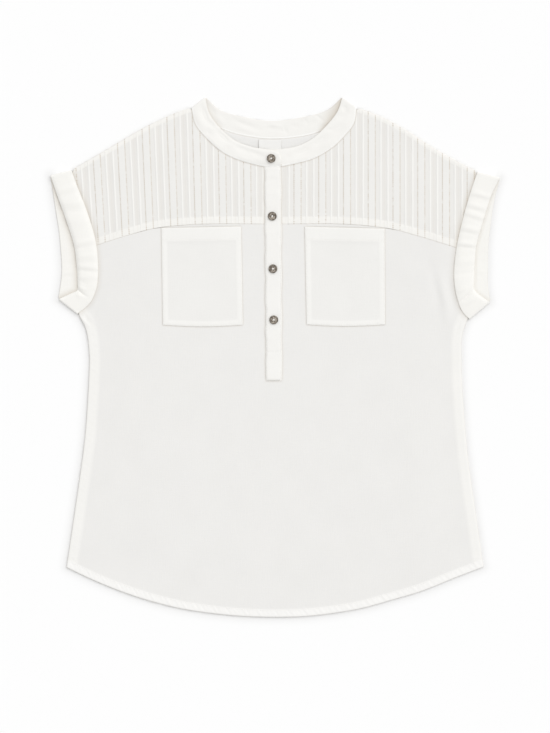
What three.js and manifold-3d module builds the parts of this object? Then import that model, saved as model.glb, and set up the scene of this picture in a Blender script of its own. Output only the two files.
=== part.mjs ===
// A woman's short-sleeved popover blouse of white voile, laid flat with its front up.
// Millimetres. +Z points up from the surface it lies on, +Y runs to the neck and +X to the
// wearer's left. The origin is under the middle of the laid garment.
//
// Every sheet of cloth is a wall of real depth. The back lies flat, the front lies on it and
// rises a little away from its edges, and what is sewn on the front follows the front's own form.
import * as THREE from "three";
import { mergeVertices } from "three/addons/utils/BufferGeometryUtils.js";
import Module from "manifold-3d";

const wasm = await Module();
wasm.setup();

// Cloth and seams
const CLOTH = 1.0; // one layer of voile
const BAND = 1.6; // doubled cloth of the neckband, the cuffs and the placket
const GAP = 0.3; // clearance between pieces
const FRONT_FLOOR = CLOTH + GAP; // the front's underside where it lies on the back
const LOFT = 1.8; // how much higher the front lies away from the edges
const LOFT_REACH = 100; // the distance over which it rises
const SEAM_HALF = GAP / 2; // each side of a seam line gives way by this
const EDGE_GAP = 0.4; // between the edge of a panel and the band that is sewn to it
const CORNER = 4; // how far a panel's corner stops short of a fold in a band
const TUCK_EDGE = 0.5; // half the width of the slope at the side of a raised strip
const TURN_LINES = 5; // lines across a band where it goes round a fold
const NECK_PARTS = 32; // steps along the back of the neck
const PER_SPAN = 4; // steps from one point of an outline to the next
const MOUTH_PER_SPAN = 3; // the same along a sleeve's mouth
const SEAM_PER_SPAN = 5; // the same along the yoke seam
const CUT_LOW = -5; // a cutting prism reaches from under the table
const CUT_HIGH = 30; // to well over the cloth
const MERGE_WITHIN = 1e-4; // points nearer than this are one
const BACK_Z = CLOTH / 2; // middle of the back's wall
const PLACKET_CLEAR = 17; // no pin tuck stands nearer to the middle than this

// Outline of the laid garment. "right" and "left" are the wearer's, so right has negative x.
const SHOULDER = {
  right: [[-111, 331], [-136, 322], [-172, 305], [-204, 286.5], [-232, 270], [-270, 248]],
  left: [[108, 331], [140, 319], [173.5, 301], [207.5, 279], [239.5, 260.5], [268, 246]],
};
const SIDE = {
  right: [
    [-261, 57], [-250.5, 36], [-246.5, 7], [-246.5, -22], [-252, -106], [-265, -201], [-276.5, -278.5],
  ],
  left: [[255, 50], [247.5, 27], [247, -7.5], [248, -42], [255, -129], [268, -221], [276, -278]],
};
const HEM = [
  [-276.5, -278.5], [-242, -295], [-198.5, -312.5], [-155, -326], [-112, -335.5], [-54, -342.5],
  [0, -344.5], [51, -342.5], [109, -334], [152, -322.5], [195.5, -309.5], [239, -292], [276, -278],
];

// Neckband: front edges run from the shoulder fold to the middle, back edges from fold to fold.
const NECK_FRONT = {
  right: {
    sewn: [
      [-111, 331], [-106, 309], [-92, 291], [-72, 273], [-48, 261], [-16, 252.5], [2, 251.5], [7.5, 252],
    ],
    free: [
      [-92.5, 345], [-88, 325], [-76, 307], [-56, 289], [-32, 279], [-10, 275.5], [3, 272.5], [7.5, 263],
    ],
  },
  left: {
    sewn: [
      [108, 331], [104, 309], [88, 289], [72, 275], [48, 262], [12, 253], [-2, 251.5], [-8.5, 251.5],
    ],
    free: [[89, 345], [82, 325], [66, 305], [48, 289], [28, 279.5], [8, 276], [-2, 275], [-8.5, 275]],
  },
};
const NECK_BACK = {
  sewn: [
    [-111, 331], [-93, 313], [-68, 301], [-40, 293], [-4, 289], [36, 292.5], [66, 301], [90, 313],
    [108, 331],
  ],
  free: [[-92.5, 345], [-72, 327], [-40, 318], [-4, 313], [36, 318], [68, 327], [89, 345]],
};
const NECKBAND_LIFT = 0.6; // the band's underside over the front's
const TAB_RISE = { from: -50, to: -13 }; // where the upper end climbs over the lower one

// Cuffs: each row gives one line across the band, from the body side to the sleeve's opening.
const CUFF_FRONT = {
  right: [
    { body: [-270, 248], open: [-298, 241] },
    { body: [-261, 223.5], open: [-289, 214.5] },
    { body: [-249, 192.5], open: [-278, 184] },
    { body: [-238, 155], open: [-267, 149.5] },
    { body: [-234.5, 122], open: [-263, 120] },
    { body: [-235.5, 98], open: [-262, 98] },
    { body: [-238.5, 86], open: [-262, 91] },
    { body: [-243.5, 74.5], open: [-264, 87.5] },
    { body: [-252, 65], open: [-273, 83.5] },
    { body: [-263, 57], open: [-288, 76.5] },
  ],
  left: [
    { body: [268, 246], open: [298.4, 238] },
    { body: [261.5, 227], open: [287.5, 217] },
    { body: [253, 199.5], open: [279, 191] },
    { body: [246, 172.5], open: [271.5, 166] },
    { body: [241, 149.5], open: [266.5, 146] },
    { body: [237.5, 123.5], open: [264.5, 122] },
    { body: [237, 103.5], open: [264, 103] },
    { body: [239.5, 84.5], open: [263.5, 92] },
    { body: [244.5, 67.5], open: [268, 85] },
    { body: [250, 57.5], open: [276, 79] },
    { body: [258, 50], open: [285.5, 72.5] },
  ],
};
const CUFF_BACK = {
  right: [
    { body: [-270, 248], open: [-298, 241] },
    { body: [-262.5, 204], open: [-292, 201] },
    { body: [-256.5, 163], open: [-286, 161] },
    { body: [-253.5, 122], open: [-283, 121] },
    { body: [-254, 99], open: [-284, 101] },
    { body: [-263, 57], open: [-288, 76.5] },
  ],
  left: [
    { body: [268, 246], open: [298.4, 238] },
    { body: [261.5, 211], open: [290.5, 208] },
    { body: [256, 178], open: [285.5, 175] },
    { body: [253, 147], open: [282.5, 146.5] },
    { body: [252, 117], open: [282, 117.5] },
    { body: [252.5, 93], open: [282, 96] },
    { body: [258, 50], open: [285.5, 72.5] },
  ],
};
const CUFF_LAP = 9; // how far the front runs on under the cuff, at most
const LAP_ROUNDNESS = 0.8; // the lower, the sooner that lap is reached
const CUFF_CREASES = { // places down each cuff, from the shoulder, where it buckles
  right: [{ y: 208, rise: 0.35 }, { y: 149, rise: 0.45 }, { y: 119, rise: 0.45 }],
  left: [
    { y: 215, rise: 0.5 }, { y: 198, rise: 0.6 }, { y: 185, rise: 0.5 },
    { y: 168, rise: 0.6 }, { y: 147, rise: 0.6 },
  ],
};
const CUFF_CREASE_HALF = 5;
const CREASE_FADE = 0.15; // a crease is lower at the cuff's edges, by this share of its arch
const CUFF_CLIMB = { from: 115, to: 138 }; // where it climbs from the lower front on to the tucks

// Yoke: its seam to the lower front, and the tucks that stand on it
const YOKE_SEAM = [
  [-262, 139], [-236, 148.5], [-192, 162.5], [-152, 172], [-92, 176.5], [-16, 176.5], [14, 176.5],
  [88, 176.5], [148, 171], [188, 161], [237.5, 146], [262, 138],
];
const SEAM_STRIP = { height: 9, rise: 0.35 }; // allowance turned up behind the yoke's lower edge
const YOKE_ROWS = { from: 32, to: 168, step: 27 }; // heights over the seam where its form is worked out
const FRONT_ROWS = { drop: 540, step: 30 }; // the same for the lower front, down from the seam
const FRONT_COLUMNS = { edge: 290, side: 190, sideStep: 10, middle: 165, middleStep: 27.5 };
const TUCKS = {
  period: 32.8, // from one pair of pin tucks to the next
  panelHalf: 4.7, // flat tuck between two lines of hemstitch holes
  panelRise: 0.35,
  pinApart: 4.7, // each pin tuck of a pair stands this far from the pair's middle
  pinHalf: 1.4,
  pinRise: 0.9,
  levelY: 214, // where the places below are taken
  count: 8,
};
const TUCK_START = {
  right: { panel: -36.7, lean: 0.00026 }, // the lines spread towards the shoulder on this side
  left: { panel: 29.6, lean: 0 },
};

// Placket, pockets, buttons and label
const PLACKET = {
  top: 250.9,
  overBottom: -31.5,
  underBottom: 2,
  overRight: [-14.4, -12.6], // x at the top and at the bottom
  overLeft: [8, 9.4],
  slot: [-9, 9], // the cut in the front that the under placket fills
  slotTop: 200, // past the yoke seam
  underStep: 24,
  overStep: 22,
  acrossStep: 11,
};
const POCKETS = {
  right: { corners: [[-151, 171.2], [-45, 173.4], [-42.8, 42.5], [-149, 42.5]] },
  left: { corners: [[39, 173], [145, 170.4], [145.7, 43], [41.4, 43]] },
};
const POCKET = {
  hem: 17,
  hemRise: 0.4,
  mouthLift: 0.9,
  mouthReach: 26,
  bottomBow: 2.2,
  rows: [34, 55, 78, 104], // distances below the mouth, under the hem
  columns: 8,
};
const BUTTON_PLACES = [[-5.2, 263.2], [-3.8, 186.8], [-2.9, 117.1], [-1.8, 49.5]];
const BUTTON = { radius: 5.8, segments: 24 };
const BUTTON_PROFILE = [ // radius and height, from the middle of its underside to the middle of its face
  [0, 0], [4.9, 0], [5.6, 0.5], [5.8, 1.3], [5.3, 2.0], [4.6, 2.2], [3.9, 1.7], [1.5, 1.5], [0, 1.5],
];
const LABEL = { left: 8, right: -21.8, top: 288.6, bottom: 262, downStep: 14, acrossStep: 10 };

// Soft folds of the front. Each ridge fades out towards its ends and to each side.
const FRONT_FOLDS = [
  { from: [213, 118], to: [241, 6], half: 9, rise: 1.1 },
  { from: [228, 96], to: [246, 22], half: 6, rise: -0.6 },
  { from: [-240, 60], to: [-238, -10], half: 8, rise: 0.7 },
  { from: [-196, 20], to: [-214, -160], half: 26, rise: 0.5 },
  { from: [176, -20], to: [208, -190], half: 26, rise: 0.5 },
];
const FOLD_START = 3; // folds have their whole height once the front has risen by a third

// Points inside the garment, from which a fold's way out is told
const INSIDE_NECK = [0, 250];
const INSIDE_BODY = [0, 120];
const INSIDE_SLEEVE = { right: [-240, 150], left: [240, 150] };

const SIDES = ["right", "left"];
const OUTWARD = { right: -1, left: 1 };

// A smooth run through an outline's points.
function smooth(points, perSpan = PER_SPAN) {
  const curve = new THREE.SplineCurve(points.map(([x, y]) => new THREE.Vector2(x, y)));
  return curve.getPoints((points.length - 1) * perSpan).map((p) => [p.x, p.y]);
}

// A run through an outline's points in steps of even length.
function spaced(points, parts) {
  const curve = new THREE.SplineCurve(points.map(([x, y]) => new THREE.Vector2(x, y)));
  return curve.getSpacedPoints(parts).map((p) => [p.x, p.y]);
}

// A run of points moved sideways: to the left of its direction when the distance is positive.
function sideways(run, distance) {
  return run.map((point, i) => {
    const before = run[Math.max(i - 1, 0)];
    const after = run[Math.min(i + 1, run.length - 1)];
    const dx = after[0] - before[0];
    const dy = after[1] - before[1];
    const length = Math.hypot(dx, dy);
    const move = typeof distance === "function" ? distance(i / (run.length - 1)) : distance;
    return [point[0] - (dy / length) * move, point[1] + (dx / length) * move];
  });
}

// A run with both ends pulled in by a distance.
function pulledIn(run, distance) {
  const fromStart = (points) => {
    const [sx, sy] = points[0];
    const kept = points.findIndex(([x, y]) => Math.hypot(x - sx, y - sy) > distance);
    const [ax, ay] = points[kept - 1];
    const [bx, by] = points[kept];
    const share = (distance - Math.hypot(ax - sx, ay - sy)) / Math.hypot(bx - ax, by - ay);
    return [[ax + (bx - ax) * share, ay + (by - ay) * share], ...points.slice(kept)];
  };
  return fromStart(fromStart(run).reverse()).reverse();
}

const ramp = (t) => {
  const s = THREE.MathUtils.clamp(t, 0, 1);
  return s * s * (3 - 2 * s);
};

// How far a point lies inside an edge, which runs with the cloth on its left.
function inside(edge, x, y) {
  let nearest = Infinity;
  let signed = 0;
  for (let i = 1; i < edge.length; i++) {
    const [ax, ay] = edge[i - 1];
    const [bx, by] = edge[i];
    const dx = bx - ax;
    const dy = by - ay;
    const t = THREE.MathUtils.clamp(((x - ax) * dx + (y - ay) * dy) / (dx * dx + dy * dy), 0, 1);
    const away = Math.hypot(x - ax - t * dx, y - ay - t * dy);
    if (away < nearest) {
      nearest = away;
      signed = dx * (y - ay) - dy * (x - ax) > 0 ? away : 0;
    }
  }
  return signed;
}

const sewnShoulder = { right: smooth(SHOULDER.right), left: smooth(SHOULDER.left) };
const sideSeam = { right: smooth(SIDE.right), left: smooth(SIDE.left) };
const hemLine = smooth(HEM);
const openBack = {
  right: smooth(CUFF_BACK.right.map((row) => row.open), MOUTH_PER_SPAN),
  left: smooth(CUFF_BACK.left.map((row) => row.open), MOUTH_PER_SPAN),
};
const backNeckTop = smooth(NECK_BACK.free);

// The laid garment's edges, each with the cloth on its left.
const EDGES = [
  sewnShoulder.right,
  [...openBack.right, ...sideSeam.right],
  hemLine,
  [...openBack.left, ...sideSeam.left].reverse(),
  [...sewnShoulder.left].reverse(),
  [...backNeckTop].reverse(),
];

function foldRise(x, y) {
  let rise = 0;
  for (const fold of FRONT_FOLDS) {
    const dx = fold.to[0] - fold.from[0];
    const dy = fold.to[1] - fold.from[1];
    const length = Math.hypot(dx, dy);
    const along = ((x - fold.from[0]) * dx + (y - fold.from[1]) * dy) / (length * length);
    const across = ((x - fold.from[0]) * dy - (y - fold.from[1]) * dx) / length;
    if (along <= 0 || along >= 1) continue;
    rise += fold.rise * Math.sin(Math.PI * along) ** 2 * Math.exp(-((across / fold.half) ** 2));
  }
  return rise;
}

// Height of the front's underside over the table.
function frontFloor(x, y) {
  const lift = EDGES.reduce((rest, edge) => rest * ramp(inside(edge, x, y) / LOFT_REACH), 1);
  const spare = Math.min(1, lift * FOLD_START); // folds die out at the edges, where it is sewn down
  return FRONT_FLOOR + LOFT * lift + spare * foldRise(x, y);
}

// Indexed faces turned so that they face out, as a geometry.
function closedGeometry(points, faces) {
  const geometry = new THREE.BufferGeometry();
  geometry.setAttribute("position", new THREE.Float32BufferAttribute(points.flat(), 3));
  const corners = points.map((point) => new THREE.Vector3(...point));
  let volume = 0;
  for (const [a, b, c] of faces) {
    volume += corners[a].dot(corners[b].clone().cross(corners[c]));
  }
  geometry.setIndex((volume < 0 ? faces.map(([a, b, c]) => [a, c, b]) : faces).flat());
  return geometry;
}

// A wall between two grids of points of the same size; a ring joins its last row to its first.
function wallBetween(over, under, ring) {
  const rows = over.length;
  const columns = over[0].length;
  const points = [...over.flat(), ...under.flat()];
  const at = (layer, row, column) => layer * rows * columns + (row % rows) * columns + column;
  const faces = [];
  const quad = (a, b, c, d) => faces.push([a, b, c], [a, c, d]);
  for (let row = 0; row < (ring ? rows : rows - 1); row++) {
    for (let column = 0; column < columns - 1; column++) {
      quad(at(0, row, column), at(0, row, column + 1), at(0, row + 1, column + 1), at(0, row + 1, column));
      quad(at(1, row, column), at(1, row + 1, column), at(1, row + 1, column + 1), at(1, row, column + 1));
    }
    const last = columns - 1;
    quad(at(0, row, 0), at(0, row + 1, 0), at(1, row + 1, 0), at(1, row, 0));
    quad(at(0, row, last), at(1, row, last), at(1, row + 1, last), at(0, row + 1, last));
  }
  for (let column = 0; column < columns - 1 && !ring; column++) {
    const last = rows - 1;
    quad(at(0, 0, column), at(1, 0, column), at(1, 0, column + 1), at(0, 0, column + 1));
    quad(at(0, last, column), at(0, last, column + 1), at(1, last, column + 1), at(1, last, column));
  }
  return closedGeometry(points, faces);
}

// A sheet of cloth over a grid of places, from its underside to its outer face.
function sheet(grid, under, over) {
  const upper = grid.map((row) => row.map(([x, y, c]) => [x, y, over(x, y, c)]));
  const lower = grid.map((row) => row.map(([x, y]) => [x, y, under(x, y)]));
  return wallBetween(upper, lower, false);
}

function solidOf(geometry) {
  const bare = geometry.clone();
  bare.deleteAttribute("normal");
  bare.deleteAttribute("uv");
  const merged = mergeVertices(bare, MERGE_WITHIN);
  return new wasm.Manifold(
    new wasm.Mesh({
      numProp: 3,
      vertProperties: new Float32Array(merged.attributes.position.array),
      triVerts: new Uint32Array(merged.index.array),
    }),
  );
}

function geometryOf(solid) {
  const made = solid.getMesh();
  const geometry = new THREE.BufferGeometry();
  geometry.setAttribute("position", new THREE.BufferAttribute(made.vertProperties, 3));
  geometry.setIndex(new THREE.BufferAttribute(made.triVerts, 1));
  return geometry;
}

function prism(outline, low = CUT_LOW, high = CUT_HIGH) {
  const shape = new THREE.Shape(outline.map(([x, y]) => new THREE.Vector2(x, y)));
  const geometry = new THREE.ExtrudeGeometry(shape, { depth: high - low, bevelEnabled: false });
  return geometry.translate(0, 0, low);
}

// The solid of a sheet cut to its outline.
const cut = (wideSheet, outline) => solidOf(wideSheet).intersect(solidOf(prism(outline)));

const span = (from, to, step) => {
  const parts = Math.max(1, Math.round(Math.abs(to - from) / step));
  return Array.from({ length: parts + 1 }, (_, i) => from + ((to - from) * i) / parts);
};

// Materials
function cloth(color, roughness) {
  return new THREE.MeshStandardMaterial({ color, roughness, metalness: 0, side: THREE.DoubleSide });
}
const voile = cloth(0xedecea, 0.85);
const doubledVoile = cloth(0xf7f6f2, 0.85);
const ribbon = cloth(0xe9e8e6, 0.7);
const buttonFinish = new THREE.MeshStandardMaterial({ color: 0x6f665c, roughness: 0.45, metalness: 0.5 });

const blouse = new THREE.Group();
function add(name, geometry, material) {
  const mesh = new THREE.Mesh(geometry, material);
  mesh.name = name;
  blouse.add(mesh);
  return mesh;
}

// The front's armhole edge runs on under the cuff, and stops short of the folds at its two ends.
const armhole = {};
for (const side of SIDES) {
  const run = smooth(CUFF_FRONT[side].map((row) => row.body));
  const lap = (t) => CUFF_LAP * Math.sin(Math.PI * t) ** LAP_ROUNDNESS - 2 * GAP;
  armhole[side] = sideways(run, (t) => OUTWARD[side] * lap(t));
}

const seamLine = smooth(YOKE_SEAM, SEAM_PER_SPAN);
function seamY(x) {
  const found = seamLine.findIndex((point) => point[0] > x);
  const i = found < 0 ? seamLine.length - 1 : Math.max(1, found);
  const [a, b] = [seamLine[i - 1], seamLine[i]];
  return a[1] + ((x - a[0]) / (b[0] - a[0])) * (b[1] - a[1]);
}

// Back: one piece, cut round by the back neck, shoulders, armholes, sides and hem.
{
  const backArmhole = {};
  for (const side of SIDES) {
    const run = smooth(CUFF_BACK[side].map((row) => row.body));
    backArmhole[side] = sideways(run, -OUTWARD[side] * EDGE_GAP);
  }
  const neck = sideways(spaced(NECK_BACK.sewn, NECK_PARTS), -EDGE_GAP);
  const outline = [
    ...pulledIn(neck, CORNER).reverse(),
    ...pulledIn(sewnShoulder.right, CORNER),
    ...pulledIn(backArmhole.right, CORNER),
    ...pulledIn(sideSeam.right, CORNER).slice(0, -1),
    ...hemLine,
    ...pulledIn(sideSeam.left, CORNER).slice(0, -1).reverse(),
    ...pulledIn(backArmhole.left, CORNER).reverse(),
    ...pulledIn(sewnShoulder.left, CORNER).reverse(),
  ];
  add("back_panel", prism(outline, 0, CLOTH), voile);
}

// Outline of the whole front, which the yokes and the lower front are cut to.
const neckEdge = {
  right: sideways(smooth(NECK_FRONT.right.sewn), -EDGE_GAP),
  left: sideways(smooth(NECK_FRONT.left.sewn), EDGE_GAP),
};
const frontOutline = [
  ...pulledIn(sewnShoulder.right, CORNER),
  ...pulledIn(armhole.right, CORNER),
  ...pulledIn(sideSeam.right, CORNER).slice(0, -1),
  ...hemLine,
  ...pulledIn(sideSeam.left, CORNER).slice(0, -1).reverse(),
  ...pulledIn(armhole.left, CORNER).reverse(),
  ...pulledIn(sewnShoulder.left, CORNER).reverse(),
  ...pulledIn(neckEdge.left, CORNER).filter(([x]) => x > 0),
  ...pulledIn(neckEdge.right, CORNER).reverse().filter(([x]) => x <= 0),
];

// Lower front: from the yoke seam to the hem, slit down the middle for the placket.
{
  const { edge, side, sideStep, middle, middleStep } = FRONT_COLUMNS;
  const columns = [
    ...span(-edge, -side, sideStep),
    ...span(-middle, middle, middleStep),
    ...span(side, edge, sideStep),
  ];
  const drops = span(0, FRONT_ROWS.drop, FRONT_ROWS.step);
  const grid = drops.map((drop) => columns.map((x) => [x, seamY(x) - SEAM_HALF - drop]));
  const wide = sheet(grid, frontFloor, (x, y) => frontFloor(x, y) + CLOTH);
  const [right, left] = PLACKET.slot;
  const bottom = PLACKET.underBottom - GAP;
  const top = PLACKET.slotTop;
  const slot = prism([[right, bottom], [left, bottom], [left, top], [right, top]]);
  add("front_body", geometryOf(cut(wide, frontOutline).subtract(solidOf(slot))), voile);
}

// Yokes: each stands in pairs of pin tucks, with a flat tuck between hemstitched lines after each
// pair. The allowance of the seam below is turned up behind the lowest strip.
const tuckPlaces = {};
for (const side of SIDES) {
  const out = OUTWARD[side];
  const start = TUCK_START[side].panel;
  const repeats = Array.from({ length: TUCKS.count + 1 }, (_, i) => start + out * TUCKS.period * (i - 1));
  tuckPlaces[side] = {
    panels: repeats.slice(1),
    pins: repeats.flatMap((middle) => {
      const pair = middle + (out * TUCKS.period) / 2;
      return [pair - TUCKS.pinApart, pair + TUCKS.pinApart];
    }).filter((x) => Math.abs(x) > PLACKET_CLEAR),
  };
}

function tuckRise(side, c) {
  const { panels, pins } = tuckPlaces[side];
  const onPanel = Math.max(...panels.map((middle) => TUCKS.panelHalf + TUCK_EDGE - Math.abs(c - middle)));
  const onPin = Math.max(...pins.map((middle) => 1 - Math.abs(c - middle) / TUCKS.pinHalf));
  const flat = TUCKS.panelRise * THREE.MathUtils.clamp(onPanel / (2 * TUCK_EDGE), 0, 1);
  return Math.max(flat, TUCKS.pinRise * onPin, 0);
}

for (const side of SIDES) {
  const out = OUTWARD[side];
  const { panels, pins } = tuckPlaces[side];
  const [narrow, wide] = [TUCKS.panelHalf - TUCK_EDGE, TUCKS.panelHalf + TUCK_EDGE];
  const places = [
    ...[PLACKET.slot[1], PLACKET_CLEAR - 2 * TUCK_EDGE, PLACKET_CLEAR].map((c) => c * out),
    ...panels.flatMap((middle) => [middle - wide, middle - narrow, middle + narrow, middle + wide]),
    ...pins.flatMap((middle) => [middle - TUCKS.pinHalf, middle, middle + TUCKS.pinHalf]),
  ].filter((c) => Math.abs(c) >= PLACKET.slot[1]);
  const columns = places.sort((a, b) => a - b);
  const strip = SEAM_STRIP.height;
  const upper = span(YOKE_ROWS.from, YOKE_ROWS.to, YOKE_ROWS.step);
  const heights = [SEAM_HALF, strip - TUCK_EDGE, strip + TUCK_EDGE, ...upper];
  const lean = TUCK_START[side].lean;
  const grid = heights.map((height) => columns.map((c) => {
    const x = c * (1 + lean * (seamY(c) + height - TUCKS.levelY));
    return [x, seamY(x) + height, { c, height }];
  }));
  const over = (x, y, { c, height }) => {
    const seamRise = height < strip && Math.abs(c) >= PLACKET_CLEAR ? SEAM_STRIP.rise : 0;
    return frontFloor(x, y) + CLOTH + Math.max(tuckRise(side, c), seamRise);
  };
  add("front_yoke_" + side, geometryOf(cut(sheet(grid, frontFloor, over), frontOutline)), voile);
}

// A band of doubled cloth about a middle surface: rows run along it, and each has its own depth.
function band(rows, depths, ring) {
  const face = (sign) => rows.map((row, i) => {
    const before = ring ? rows.at(i - 1) : rows[Math.max(i - 1, 0)];
    const after = ring ? rows[(i + 1) % rows.length] : rows[Math.min(i + 1, rows.length - 1)];
    return row.map((point, j) => {
      const along = after[j].clone().sub(before[j]);
      const across = row[Math.min(j + 1, row.length - 1)].clone().sub(row[Math.max(j - 1, 0)]);
      const normal = along.cross(across).normalize();
      return point.clone().addScaledVector(normal, (sign * depths[i]) / 2).toArray();
    });
  });
  return wallBetween(face(1), face(-1), ring);
}

// Lines across a band, each from its first edge to its second, with the height worked out there.
function across(firstEdge, secondEdge, columns, height) {
  return firstEdge.map(([ax, ay], i) => {
    const [bx, by] = secondEdge[i];
    return Array.from({ length: columns }, (_, j) => {
      const share = j / (columns - 1);
      const x = ax + (bx - ax) * share;
      const y = ay + (by - ay) * share;
      return new THREE.Vector3(x, y, height(x, y, share));
    });
  });
}

// Lines that carry a band round a fold, from its upper line down to its lower one.
function turn(upper, lower, outward) {
  return Array.from({ length: TURN_LINES }, (_, i) => {
    const angle = (Math.PI * (i + 1)) / (TURN_LINES + 1);
    return upper.map((point, j) => {
      const radius = (point.z - lower[j].z) / 2;
      const level = (point.z + lower[j].z) / 2;
      const reach = radius * Math.sin(angle);
      return new THREE.Vector3(
        point.x + outward[0] * reach, point.y + outward[1] * reach, level + radius * Math.cos(angle),
      );
    });
  });
}

// The way out of a fold line, square to it and away from a point inside the garment.
function wayOut([ax, ay], [bx, by], [inX, inY]) {
  const length = Math.hypot(bx - ax, by - ay);
  const way = [(by - ay) / length, (ax - bx) / length];
  const facesIn = way[0] * (inX - ax) + way[1] * (inY - ay) > 0;
  return facesIn ? [-way[0], -way[1]] : way;
}

// A run whose start is drawn back along itself from a fold, by the room that the turn needs. The
// point next to the start is left out, so that the step there stays long enough.
function drawnBack(run, outward, room) {
  const [start, , next] = run;
  const way = [next[0] - start[0], next[1] - start[1]];
  const share = -room / (way[0] * outward[0] + way[1] * outward[1]);
  return [[start[0] + way[0] * share, start[1] + way[1] * share], ...run.slice(2)];
}

function drawnBackBothWays(run, outwardAtStart, outwardAtEnd, room) {
  const fromStart = drawnBack(run, outwardAtStart, room);
  return drawnBack(fromStart.reverse(), outwardAtEnd, room).reverse();
}

// The depth of a band at each of its lines: one layer at the back, and doubled cloth in front.
function depthsOf(lines, frontZ) {
  return lines.map((line) => {
    const z = THREE.MathUtils.clamp(line[1].z, BACK_Z, frontZ);
    return THREE.MathUtils.mapLinear(z, BACK_Z, frontZ, CLOTH, BAND);
  });
}

// Neckband: one band, folded at the shoulders, whose ends cross at the middle of the front.
{
  const columns = 3;
  const rise = NECKBAND_LIFT + BAND / 2;
  const room = (FRONT_FLOOR + rise - BACK_Z) / 2 + BAND / 2;
  const outward = {};
  const front = {};
  for (const side of SIDES) {
    outward[side] = wayOut(NECK_FRONT[side].sewn[0], NECK_FRONT[side].free[0], INSIDE_NECK);
    const [sewn, free] = ["sewn", "free"].map((edge) =>
      drawnBack(smooth(NECK_FRONT[side][edge]), outward[side], room));
    const climb = side === "right" ? BAND + GAP : 0;
    front[side] = across(sewn, free, columns, (x, y) => {
      const share = ramp((x - TAB_RISE.from) / (TAB_RISE.to - TAB_RISE.from));
      return frontFloor(x, y) + rise + climb * share;
    });
  }
  const [sewnBack, freeBack] = [NECK_BACK.sewn, NECK_BACK.free].map((points) =>
    drawnBackBothWays(spaced(points, NECK_PARTS), outward.right, outward.left, room));
  const back = across(sewnBack, freeBack, columns, () => BACK_Z);
  const rows = [
    ...[...front.right].reverse(),
    ...turn(front.right[0], back[0], outward.right),
    ...back,
    ...turn(front.left[0], back.at(-1), outward.left).reverse(),
    ...front.left,
  ];
  add("neckband", band(rows, depthsOf(rows, FRONT_FLOOR + rise), false), doubledVoile);
}

// Cuffs: each is one ring of doubled cloth, folded at the shoulder and under the arm.
for (const side of SIDES) {
  const columns = 4;
  const overBody = CLOTH + GAP + BAND / 2;
  const overTucks = overBody + TUCKS.pinRise;
  const rise = (y) => {
    const climb = ramp((y - CUFF_CLIMB.from) / (CUFF_CLIMB.to - CUFF_CLIMB.from));
    return THREE.MathUtils.lerp(overBody, overTucks, climb);
  };
  const room = (FRONT_FLOOR + overTucks - BACK_Z) / 2 + BAND / 2;
  const rows = CUFF_FRONT[side];
  const top = wayOut(rows[0].body, rows[0].open, INSIDE_BODY);
  const bottom = wayOut(rows.at(-1).body, rows.at(-1).open, INSIDE_SLEEVE[side]);
  const run = (table, edge) =>
    drawnBackBothWays(smooth(table.map((row) => row[edge])), top, bottom, room);
  const creases = (y, share) => {
    const arch = Math.sin(Math.PI * THREE.MathUtils.lerp(CREASE_FADE, 1 - CREASE_FADE, share));
    const heights = CUFF_CREASES[side].map((crease) =>
      crease.rise * Math.exp(-(((y - crease.y) / CUFF_CREASE_HALF) ** 2)));
    return arch * heights.reduce((sum, height) => sum + height, 0);
  };
  const front = across(run(rows, "body"), run(rows, "open"), columns,
    (x, y, share) => frontFloor(x, y) + rise(y) + creases(y, share));
  const back = across(run(CUFF_BACK[side], "body"), run(CUFF_BACK[side], "open"), columns, () => BACK_Z);
  const lines = [
    ...front,
    ...turn(front.at(-1), back.at(-1), bottom),
    ...[...back].reverse(),
    ...turn(front[0], back[0], top).reverse(),
  ];
  add("cuff_" + side, band(lines, depthsOf(lines, FRONT_FLOOR + overBody), true), doubledVoile);
}

// Placket: the under piece fills the slit, and the upper one lies over both its edges.
{
  const [slotRight, slotLeft] = PLACKET.slot;
  const rows = span(PLACKET.top - GAP, PLACKET.underBottom, PLACKET.underStep);
  const underGrid = rows.map((y) => [slotRight + GAP, 0, slotLeft - GAP].map((x) => [x, y]));
  add("placket_under", sheet(underGrid, frontFloor, (x, y) => frontFloor(x, y) + CLOTH), doubledVoile);

  const slant = ([atTop, atBottom], y) =>
    THREE.MathUtils.mapLinear(y, PLACKET.top, PLACKET.overBottom, atTop, atBottom);
  const overGrid = span(PLACKET.top, PLACKET.overBottom, PLACKET.overStep).map((y) =>
    span(slant(PLACKET.overRight, y), slant(PLACKET.overLeft, y), PLACKET.acrossStep).map((x) => [x, y]));
  const floor = (x, y) => frontFloor(x, y) + CLOTH + GAP;
  add("placket_over", sheet(overGrid, floor, (x, y) => floor(x, y) + BAND), doubledVoile);
}

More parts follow.
